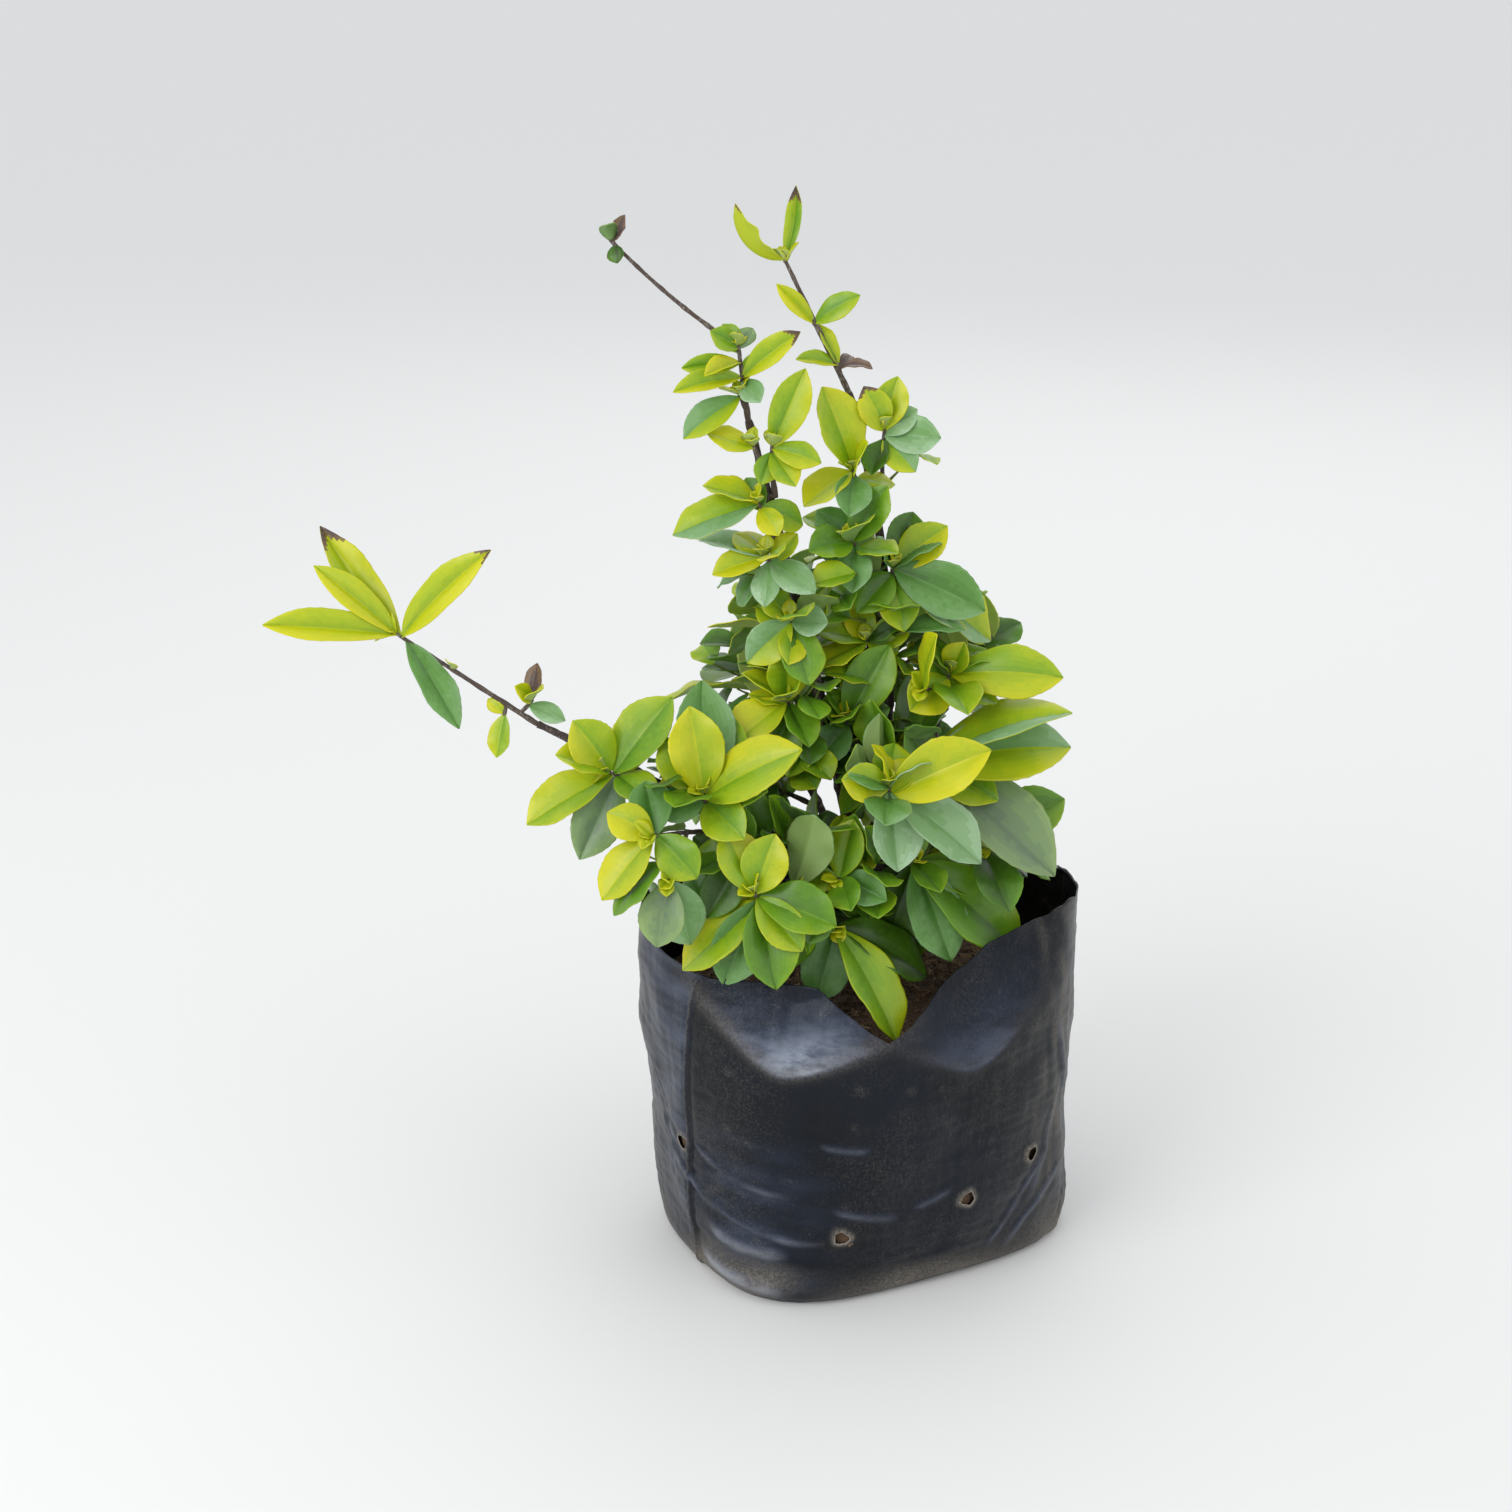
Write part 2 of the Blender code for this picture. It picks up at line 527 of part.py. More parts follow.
def build_bag(collection, cutters):
    """A sphere's open lower part, shaped ring by ring and thickened inwards, with drain holes."""
    rings = len(BAG_RINGS)
    bm = bmesh.new()
    bmesh.ops.create_uvsphere(bm, u_segments=BAG_SEGMENTS, v_segments=rings + 1, radius=1.0)
    top = max(bm.verts, key=lambda v: v.co.z)
    bmesh.ops.delete(bm, geom=[top], context="VERTS")
    for vert in bm.verts:
        level = round((math.pi - math.acos(max(-1.0, min(1.0, vert.co.z)))) / math.pi * (rings + 1))
        if level == 0:
            vert.co = Vector((BAG_RINGS[0].x, BAG_RINGS[0].y, 0.0))
        else:
            direction = math.degrees(math.atan2(vert.co.y, vert.co.x))
            vert.co = ring_point(BAG_RINGS[level - 1], direction)
    bmesh.ops.recalc_face_normals(bm, faces=bm.faces)
    bag = add_object("bag", mesh_from(bm, "bag"), collection)
    wall = bag.modifiers.new("film", "SOLIDIFY")
    wall.thickness = FILM_THICKNESS
    wall.offset = -1.0
    wall.use_even_offset = True
    middle = BAG_RINGS[5]
    for index, (direction, height) in enumerate(BAG_HOLES):
        bm = bmesh.new()
        bmesh.ops.create_cone(bm, cap_ends=True, segments=8, radius1=BAG_HOLE_RADIUS, radius2=BAG_HOLE_RADIUS,
                              depth=BAG_HOLE_DEPTH)
        cutter = add_object(f"drain_hole_{index + 1}", mesh_from(bm, "drain_hole"), cutters)
        out = heading_way(direction, 0)
        at = ring_point(middle._replace(height=height), direction)
        cutter.location = at - out * 0.001
        cutter.rotation_mode = "QUATERNION"
        cutter.rotation_quaternion = out.to_track_quat("Z", "Y")
        cutter.hide_render = True
        cutter.display_type = "WIRE"
    cut = bag.modifiers.new("drain_holes", "BOOLEAN")
    cut.operation = "DIFFERENCE"
    cut.solver = "EXACT"
    cut.operand_type = "COLLECTION"
    cut.collection = cutters
    shade_smooth(bag.data)
    bag.data.materials.append(new_material("film", BAG_COLOUR, 0.42))
    return bag


def soil_height(x, y, rng_rows):
    """The mounded top of the soil, level round the trunk's foot."""
    from_trunk = math.hypot(x - TRUNK_FOOT.x, y - TRUNK_FOOT.y)
    slope = min(1.0, max(0.0, (from_trunk - 0.010) / 0.050))
    rough = sum(math.sin(x * fx + y * fy + phase) for fx, fy, phase in rng_rows) / len(rng_rows)
    mound = SOIL_CROWN_HEIGHT + (SOIL_WALL_HEIGHT - SOIL_CROWN_HEIGHT) * slope
    return mound + SOIL_ROUGHNESS * rough * min(1.0, slope * 4)


def build_soil(collection):
    """The packed soil: a plug that stays just clear of the film, with an uneven mounded top."""
    inset = FILM_THICKNESS + GAP + 0.0002
    rng = random.Random("soil")
    rows = [(rng.uniform(-260, 260), rng.uniform(-260, 260), rng.uniform(0, 6.28)) for _ in range(5)]
    wall = [ring for ring in BAG_RINGS[1:8] if 0.002 < ring.height < SOIL_WALL_HEIGHT - 0.004]
    levels = ([("floor", 0.45), ("floor", 0.88)] + [("wall", ring) for ring in wall]
              + [("top", share) for share in (1.0, 0.84, 0.66, 0.48, 0.30, 0.14)])
    bm = bmesh.new()
    bmesh.ops.create_uvsphere(bm, u_segments=BAG_SEGMENTS, v_segments=len(levels) + 1, radius=1.0)
    floor_ring, edge = BAG_RINGS[1], BAG_RINGS[7]
    for vert in bm.verts:
        level = round((math.pi - math.acos(max(-1.0, min(1.0, vert.co.z)))) / math.pi * (len(levels) + 1))
        direction = math.degrees(math.atan2(vert.co.y, vert.co.x))
        if level == 0:
            vert.co = Vector((floor_ring.x, floor_ring.y, FILM_THICKNESS + GAP))
            continue
        if level > len(levels):
            vert.co = Vector((TRUNK_FOOT.x, TRUNK_FOOT.y, SOIL_CROWN_HEIGHT))
            continue
        kind, value = levels[level - 1]
        if kind == "floor":
            at = ring_point(floor_ring, direction, inset + 0.0012, value)
            vert.co = Vector((at.x, at.y, FILM_THICKNESS + GAP))
        elif kind == "wall":
            vert.co = ring_point(value, direction, inset + (0.0006 if value.height < 0.005 else 0.0))
        else:
            at = ring_point(edge._replace(height=SOIL_WALL_HEIGHT), direction, inset)
            centre = Vector((TRUNK_FOOT.x, TRUNK_FOOT.y, 0))
            at = centre + (at - centre) * value
            vert.co = Vector((at.x, at.y, soil_height(at.x, at.y, rows)))
    bmesh.ops.recalc_face_normals(bm, faces=bm.faces)
    soil = add_object("soil", mesh_from(bm, "soil"), collection)
    shade_smooth(soil.data)
    soil.data.materials.append(new_material("soil", SOIL_COLOUR, 0.95))
    return soil


def tube_object(name, points, radii, collection, resolution):
    """A tapered round limb along a line of points, closed at both ends."""
    curve = bpy.data.curves.new(name, "CURVE")
    curve.dimensions = "3D"
    curve.bevel_depth = 1.0
    curve.bevel_resolution = resolution
    curve.use_fill_caps = True
    spline = curve.splines.new("POLY")
    spline.points.add(len(points) - 1)
    for target, point, radius in zip(spline.points, points, radii):
        target.co = (*point, 1.0)
        target.radius = radius
    temporary = add_object(name + "_line", curve, collection)
    mesh = evaluated_mesh(temporary)
    bpy.data.objects.remove(temporary)
    bpy.data.curves.remove(curve)
    mesh.name = name
    return add_object(name, mesh, collection)


def build_limbs(collection):
    """The trunk, stems and boughs; each starts just clear of the limb that carries it."""
    limbs = []
    for name, limb in LIMBS.items():
        start, middle, tip = limb_curve(name)
        steps = 12 if limb.foot_radius > 0.0019 else 8
        points = [bezier(start, middle, tip, k / steps) for k in range(steps + 1)]
        radii = [limb_radius(name, k / steps) for k in range(steps + 1)]
        if name == "trunk":
            points[0] = TRUNK_FOOT.copy()
            radii = [r * (1 + 0.55 * math.exp(-k / 1.3)) for k, r in enumerate(radii)]
        obj = tube_object(name, points, radii, collection, 1 if name != "trunk" else 2)
        shade_smooth(obj.data)
        obj.data.materials.append(new_material(name + "_bark", BARK_COLOUR, 0.85))
        limbs.append(obj)
    return limbs


def leaf_mesh_data(leaf, swell=0.0):
    """A folded, arched blade on a short stalk, made from a small sphere; `swell` thickens it for the test."""
    profile = LONG_LEAF if leaf.length > LONG_LEAF_LENGTH else SHORT_LEAF
    top = len(profile) - 1
    bm = bmesh.new()
    bmesh.ops.create_uvsphere(bm, u_segments=4, v_segments=top, radius=1.0)
    fold = math.radians(leaf.fold)
    marks = {}
    for vert in bm.verts:
        level = round((math.pi - math.acos(max(-1.0, min(1.0, vert.co.z)))) / math.pi * top)
        marks[vert] = (level, abs(vert.co.x) > abs(vert.co.y))
        share, width = profile[level]
        at, way, face, side = leaf_frame(leaf, share)
        ring = math.hypot(vert.co.x, vert.co.y)
        x, y = (vert.co.x / ring, vert.co.y / ring) if ring > 1e-6 else (0.0, 0.0)
        half = leaf.width / 2 * width + swell
        thick = max(LEAF_THICKNESS, 0.016 * leaf.length) / 2 + swell
        if level == 0:
            vert.co = at - way * LEAF_ROOT
        elif level == top:
            vert.co = at + way * swell
        elif level == 1:
            off = side * x * (LEAF_STALK_RADIUS + swell) + face * y * (LEAF_STALK_RADIUS + swell)
            vert.co = at + way * LEAF_STALK_LENGTH + off
        elif abs(x) > 0.5:
            vert.co = at + side * (math.copysign(half, x) * math.cos(fold)) + face * (half * math.sin(fold))
        else:
            vert.co = at + face * math.copysign(thick * (0.85 + 0.15 * width), y)
    # The upper and lower side are split along the same diagonals, so they can't cross where the blade is thin
    for face in [face for face in bm.faces if len(face.verts) == 4]:
        inner = min((vert for vert in face.verts if not marks[vert][1]), key=lambda vert: marks[vert][0])
        outer = max((vert for vert in face.verts if marks[vert][1]), key=lambda vert: marks[vert][0])
        bmesh.utils.face_split(face, inner, outer)
    bmesh.ops.recalc_face_normals(bm, faces=bm.faces)
    return bm


def leaf_frame(leaf, s):
    """Point, direction, upper side and side direction at share s of a leaf."""
    steps = 12
    way, face = leaf.way.copy(), leaf.face.copy()
    at = leaf.foot.copy()
    part = s * steps
    for k in range(steps):
        amount = min(1.0, part - k)
        if amount <= 0:
            break
        at = at + way * (leaf.length / steps * amount)
        side = way.cross(face).normalized()
        bend = Quaternion(side, -math.radians(leaf.bend) / steps * amount)
        turn = Quaternion(way, math.radians(leaf.twist) / steps * amount)
        way = (bend @ way).normalized()
        face = (turn @ (bend @ face)).normalized()
    return at, way, face, way.cross(face).normalized()


def moved_leaf(leaf, attempt, rng):
    """The same leaf turned a little about its foot, more with each try."""
    if attempt == 0:
        return leaf
    amount = math.radians(5 + 4 * attempt)
    axis = Vector((rng.uniform(-1, 1), rng.uniform(-1, 1), rng.uniform(-1, 1))).normalized()
    turn = Quaternion(axis, amount * rng.uniform(0.6, 1.0))
    shrink = 1 - 0.04 * attempt
    return leaf._replace(way=turn @ leaf.way, face=turn @ leaf.face, length=leaf.length * shrink,
                         width=leaf.width * shrink)


def tree_of(mesh):
    faces = [tuple(polygon.vertices) for polygon in mesh.polygons]
    return BVHTree.FromPolygons([vert.co.copy() for vert in mesh.vertices], faces)


def touches(mesh, trees):
    tree = tree_of(mesh)
    return any(tree.overlap(other) for other in trees)


def leaf_is_clear(leaf, trees):
    bm = leaf_mesh_data(leaf, LEAF_CLEARANCE)
    tree = BVHTree.FromBMesh(bm)
    bm.free()
    return not any(tree.overlap(other) for other in trees)


def is_one_body(mesh):
    """Whether every edge lies between two faces and the faces hang together along their edges."""
    bm = bmesh.new()
    bm.from_mesh(mesh)
    closed = all(len(edge.link_faces) == 2 for edge in bm.edges)
    bm.faces.ensure_lookup_table()
    reached = {bm.faces[0]}
    waiting = [bm.faces[0]]
    while waiting:
        for edge in waiting.pop().edges:
            for face in edge.link_faces:
                if face not in reached:
                    reached.add(face)
                    waiting.append(face)
    whole = len(reached) == len(bm.faces)
    bm.free()
    return closed and whole


def joined(pieces, name):
    """One Boolean union on a collection: EXACT, or MANIFOLD where that doesn't leave one closed body.

    Where neither does, the pieces are shifted by up to a tenth of a millimetre and joined again.
    """
    body = pieces[0]
    others = bpy.data.collections.new(name + "_parts")
    for piece in pieces[1:]:
        piece.users_collection[0].objects.unlink(piece)
        others.objects.link(piece)
    join = body.modifiers.new("join", "BOOLEAN")
    join.operation = "UNION"
    join.operand_type = "COLLECTION"
    join.collection = others
    rng = random.Random(name + "_shift")
    for _ in range(JOIN_TRIES):
        for solver, weld in (("EXACT", 1e-6), ("EXACT", 1e-5), ("EXACT", 5e-5), ("MANIFOLD", 1e-6)):
            join.solver = solver
            bpy.context.view_layer.update()
            mesh = evaluated_mesh(body, weld)
            if is_one_body(mesh):
                bpy.data.collections.remove(others)
                return mesh
        for piece in pieces[1:]:
            piece.location = [rng.uniform(-JOIN_SHIFT, JOIN_SHIFT) for _ in range(3)]
    raise RuntimeError(name + " doesn't join into one closed body")


def build_twigs(name, work, trees):
    """A mass's stem and twigs, each kept only where it stays clear; a dropped twig takes its leaves along."""
    twigs, leaves = grow(name)
    pieces = []
    for index, (start, middle, tip) in enumerate(twigs):
        radius = STEM_RADIUS if index == 0 else TWIG_RADIUS
        steps = max(2, min(6, round((tip - start).length / 0.010)))
        points = [bezier(start, middle, tip, k / steps) for k in range(steps + 1)]
        radii = [radius + (TWIG_TIP_RADIUS - radius) * k / steps for k in range(steps + 1)]
        piece = tube_object(f"{name}_twig_{index}", points, radii, work, 0)
        if touches(piece.data, trees):
            if index == 0:
                raise RuntimeError("the stem of " + name + " touches a limb")
            bpy.data.objects.remove(piece)
            leaves = [leaf for leaf in leaves if (leaf.foot - tip).length > 0.006]
            continue
        pieces.append(piece)
    return pieces, leaves


def build_mass(name, pieces, leaves, collection, work, trees):
    """One mass: leaves that stay clear of everything else, joined with the twigs into one solid."""
    rng = random.Random(name + "_try")
    kept = 0
    for leaf in leaves:
        for attempt in range(LEAF_TRIES):
            placed = moved_leaf(leaf, attempt, rng)
            if leaf_is_clear(placed, trees):
                bm = leaf_mesh_data(placed)
                pieces.append(add_object(f"{name}_leaf_{kept}", mesh_from(bm, "leaf"), work))
                kept += 1
                break
    name_of_node = "foliage_" + name
    mesh = joined(pieces, name)
    for piece in pieces:
        bpy.data.objects.remove(piece)
    mesh.name = name_of_node
    node = add_object(name_of_node, mesh, collection)
    gold = rng.uniform(0.15, 0.9)
    colour = [a + (b - a) * gold for a, b in zip(LEAF_GREEN, LEAF_GOLD)]
    mesh.materials.clear()
    mesh.materials.append(new_material(name_of_node, colour, 0.55))
    triangles = sum(len(polygon.vertices) - 2 for polygon in mesh.polygons)
    print(name_of_node, "leaves", kept, "of", len(leaves), "triangles", triangles)
    return node


def main():
    for obj in list(bpy.data.objects):
        bpy.data.objects.remove(obj, do_unlink=True)
    plant = bpy.data.collections.new("potted_duranta")
    cutters = bpy.data.collections.new("cutters")
    work = bpy.data.collections.new("work")
    for collection in (plant, cutters, work):
        bpy.context.scene.collection.children.link(collection)
    cutters.hide_render = True
    bag = build_bag(plant, cutters)
    soil = build_soil(plant)
    limbs = build_limbs(plant)
    bpy.context.view_layer.update()
    fixed = [tree_of(evaluated_mesh(obj)) for obj in [bag, soil] + limbs]
    grown = {}
    taken = {}
    for name in MASSES:
        others = fixed + [tree for trees in taken.values() for tree in trees]
        grown[name] = build_twigs(name, work, others)
        taken[name] = [tree_of(piece.data) for piece in grown[name][0]]
    for name, (pieces, leaves) in grown.items():
        others = fixed + [tree for key, trees in taken.items() if key != name for tree in trees]
        node = build_mass(name, pieces, leaves, plant, work, others)
        taken[name] = [tree_of(node.data)]
    bpy.data.collections.remove(work)


main()
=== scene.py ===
"""Looks of the potted golden duranta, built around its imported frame.

Metres, +Z up. The origin is the middle of the bag's flat underside, and -Y is the side that the
photograph shows. The leaves and twigs grow again from the part's own tables, and are carried on
to finer ones within the same reach.
"""

import json
import math
import random
from functools import lru_cache
from itertools import chain
from typing import NamedTuple

import bmesh
import bpy
import numpy as np
from bpy.props import FloatProperty, FloatVectorProperty, PointerProperty
from mathutils import Matrix, Quaternion, Vector, noise
from mathutils.bvhtree import BVHTree

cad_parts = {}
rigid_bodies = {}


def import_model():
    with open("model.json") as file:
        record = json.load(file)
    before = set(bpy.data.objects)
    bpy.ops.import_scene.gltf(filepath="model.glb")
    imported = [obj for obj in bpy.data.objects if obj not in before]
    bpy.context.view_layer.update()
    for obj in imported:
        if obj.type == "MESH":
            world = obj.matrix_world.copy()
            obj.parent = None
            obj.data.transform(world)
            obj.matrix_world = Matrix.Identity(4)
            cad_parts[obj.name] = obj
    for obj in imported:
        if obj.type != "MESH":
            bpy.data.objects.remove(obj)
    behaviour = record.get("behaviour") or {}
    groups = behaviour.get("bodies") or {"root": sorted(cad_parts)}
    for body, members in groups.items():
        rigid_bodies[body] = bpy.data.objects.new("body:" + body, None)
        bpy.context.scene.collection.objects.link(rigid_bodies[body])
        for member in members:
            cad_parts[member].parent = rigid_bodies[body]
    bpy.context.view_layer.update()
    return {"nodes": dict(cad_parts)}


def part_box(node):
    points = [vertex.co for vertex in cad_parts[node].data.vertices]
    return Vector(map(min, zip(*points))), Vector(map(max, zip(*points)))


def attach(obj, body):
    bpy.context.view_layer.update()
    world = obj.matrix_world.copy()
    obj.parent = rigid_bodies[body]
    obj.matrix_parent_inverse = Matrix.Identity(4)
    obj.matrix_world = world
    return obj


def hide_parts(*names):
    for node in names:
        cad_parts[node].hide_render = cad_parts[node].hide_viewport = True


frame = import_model()

bl_info = {
    "name": "Potted golden duranta",
    "version": (1, 0, 0),
    "blender": (4, 5, 0),
    "location": "3D View > Sidebar > Duranta",
    "description": "Dresses the packed duranta: leaves, twigs, bark, grow bag and soil",
    "category": "Object",
}

UP = Vector((0, 0, 1))
LIGHT_SIDE = Vector((0, -0.62, 0.78))
BODY = "root"

# The part's own sizes for its bag, soil, limbs and leaves
GAP = 0.0003
BAG_TURN = 27.0
FILM_INSET = 0.0013
BAG_RIM_HEIGHT = 0.108
SOIL_WALL_HEIGHT = 0.0825
SOIL_CROWN_HEIGHT = 0.0872
SOIL_ROUGHNESS = 0.0011
STEM_RADIUS = 0.0009
TWIG_RADIUS = 0.0007
TWIG_TIP_RADIUS = 0.00055
LEAF_TRIES = 7

# Half sizes, squareness, centre and height of each level of the bag
BAG_RINGS = (
    (0.0340, 0.0250, 3.0, 0.0020, -0.0020, 0.0),
    (0.0615, 0.0455, 3.4, 0.0020, -0.0020, 0.0),
    (0.0640, 0.0495, 3.1, 0.0015, -0.0015, 0.0030),
    (0.0652, 0.0525, 2.9, 0.0010, -0.0010, 0.0100),
    (0.0665, 0.0570, 2.6, 0.0000, -0.0005, 0.0260),
    (0.0675, 0.0600, 2.4, -0.0005, 0.0000, 0.0450),
    (0.0692, 0.0618, 2.3, -0.0010, 0.0000, 0.0650),
    (0.0705, 0.0630, 2.2, -0.0015, 0.0000, 0.0820),
    (0.0712, 0.0637, 2.2, -0.0018, 0.0000, 0.0950),
    (0.0715, 0.0640, 2.2, -0.0020, 0.0000, BAG_RIM_HEIGHT),
)

# The rim's height all round: direction (degrees) and height
RIM_LINE = ((-180, 0.1150), (-168, 0.1150), (-150, 0.1105), (-138, 0.1070), (-104, 0.1060), (-94, 0.0990),
            (-83, 0.0915), (-76, 0.0950), (-61, 0.1045), (-30, 0.1180), (-18, 0.1210), (0, 0.1170),
            (14, 0.1160), (40, 0.1100), (75, 0.1070), (105, 0.1100), (128, 0.1130), (150, 0.1090),
            (165, 0.1120), (180, 0.1150))

# Where the film above the soil leans in: direction, half width (degrees) and depth
RIM_LEANS = ((-116.0, 20.0, 0.0045), (-52.0, 20.0, 0.0040), (-22.0, 9.0, -0.0010))

# Drain holes: direction in degrees and height
BAG_HOLES = ((-146.0, 0.046), (-97.0, 0.026), (-57.0, 0.032), (-33.0, 0.040),
             (34.0, 0.046), (83.0, 0.026), (123.0, 0.032), (165.0, 0.040))

# Triangles of film that lean in above the soil: direction and height of the lowest point,
# rise of the fold line per degree on its left and right, slope of the lean, and its painted sheen and fold
# highlight
LEANING_FACETS = (
    (-111.0, 0.0805, 0.00085, 0.00042, 0.42, 1.00),
    (-57.0, 0.0770, 0.00055, 0.00062, 0.36, 0.36),
    (96.0, 0.0830, 0.00060, 0.00060, 0.22, 0.40),
    (160.0, 0.0860, 0.00070, 0.00050, 0.22, 0.40),
)

# Creases of the film: direction and height of both ends, sag of the middle, height and half width
CREASES = (
    (-137, 0.106, -148, 0.001, 0.000, 0.0010, 0.0006),
    (16, 0.106, -12, 0.001, 0.004, 0.0009, 0.0012),
    (-142, 0.0490, -110, 0.0395, -0.0030, 0.0008, 0.0011),
    (-138, 0.0420, -120, 0.0370, -0.0010, 0.0003, 0.0008),
    (-158, 0.0430, -101, 0.0235, -0.0050, 0.0012, 0.0014),
    (-138, 0.0225, -111, 0.0190, -0.0020, 0.0009, 0.0028),
    (-146, 0.0090, -112, 0.0050, -0.0010, 0.0012, 0.0026),
    (-164, 0.0660, -146, 0.0400, -0.0020, 0.0007, 0.0010),
    (-160, 0.0500, -149, 0.0330, -0.0010, 0.0005, 0.0009),
    (-103, 0.0580, -88, 0.0560, -0.0010, 0.0004, 0.0012),
    (-100, 0.0360, -80, 0.0310, -0.0010, 0.0005, 0.0013),
    (-76, 0.0330, -62, 0.0370, -0.0008, 0.0004, 0.0012),
    (-46, 0.0080, -24, 0.0400, 0.0010, 0.0006, 0.0014),
    (-38, 0.0060, -16, 0.0300, 0.0010, 0.0007, 0.0013),
    (-30, 0.0200, -20, 0.0620, 0.0010, 0.0005, 0.0013),
    (-24, 0.0860, -14, 0.0500, 0.0010, 0.0006, 0.0014),
    (30, 0.0900, 44, 0.0300, 0.0010, 0.0006, 0.0014),
    (58, 0.0280, 92, 0.0200, -0.0020, 0.0008, 0.0015),
    (66, 0.0160, 104, 0.0100, -0.0020, 0.0007, 0.0014),
    (70, 0.0500, 96, 0.0460, -0.0020, 0.0006, 0.0014),
    (112, 0.0640, 140, 0.0420, -0.0020, 0.0008, 0.0015),
    (118, 0.0240, 152, 0.0330, -0.0020, 0.0007, 0.0013),
    (124, 0.0980, 128, 0.0020, 0.0020, 0.0009, 0.0010),
    (150, 0.0740, 172, 0.0560, -0.0020, 0.0006, 0.0013),
)


class Limb(NamedTuple):
    """One tapering limb: it leaves its parent at a share of it and bends through the bow to its tip."""
    parent: str
    share: float
    tip: tuple
    bow: tuple
    foot_radius: float
    tip_radius: float


class Shoot(NamedTuple):
    """One twig: where it leaves the stem, its heading, rise and length, its leaves and their tints."""
    share: float
    heading: float
    rise: float
    length: float
    leaves: tuple
    pairs: int = 0
    leaf: float = 0.030
    tints: str = ""


class Mass(NamedTuple):
    """One mass of foliage: its stem, the shoots that branch from it, and the tints of its other leaves."""
    limb: str
    share: float
    heading: float
    rise: float
    length: float
    shoots: tuple
    slender: float = 1.0
    tints: str = "lnnb"


def tip_fan(leaves, pairs=0, leaf=0.030, tints=""):
    """Leaves at the very tip of a mass's stem."""
    return Shoot(1.0, 0, 0, 0, leaves, pairs, leaf, tints)


TRUNK_FOOT = Vector((0.002, 0.005, 0.0880))

LIMBS = {
    "trunk": Limb("", 0, (-0.003, 0.005, 0.130), (0.002, 0, 0), 0.0040, 0.0030),
    "stem_left": Limb("trunk", 1.0, (-0.0365, -0.001, 0.2680), (0.001, 0.0, 0), 0.0021, 0.0011),
    "stem_right": Limb("trunk", 0.93, (-0.0060, 0.012, 0.2740), (0.0100, 0.003, 0), 0.0020, 0.0011),
    "bough_left": Limb("trunk", 0.60, (-0.1010, -0.016, 0.1770), (0.001, -0.008, 0.004), 0.0018, 0.0011),
    "bough_left_low": Limb("trunk", 0.74, (-0.0480, -0.030, 0.1530), (0.0, 0.0, 0.003), 0.0016, 0.0010),
    "bough_front": Limb("trunk", 0.45, (-0.0300, -0.040, 0.1240), (0, 0, 0.003), 0.0015, 0.0010),
    "bough_front_right": Limb("trunk", 0.70, (0.0060, -0.028, 0.1540), (0.002, -0.004, 0.0), 0.0016, 0.0010),
    "bough_right": Limb("trunk", 0.76, (0.0240, 0.002, 0.1800), (0.004, 0, -0.002), 0.0018, 0.0010),
    "bough_right_low": Limb("trunk", 0.50, (0.0300, -0.004, 0.1340), (0, 0, 0.002), 0.0015, 0.0010),
    "bough_back_left": Limb("trunk", 0.68, (-0.0280, 0.038, 0.1600), (0, 0, 0.0), 0.0016, 0.0010),
    "bough_back_right": Limb("trunk", 0.62, (0.0240, 0.040, 0.1640), (0, 0, 0.0), 0.0016, 0.0010),
}

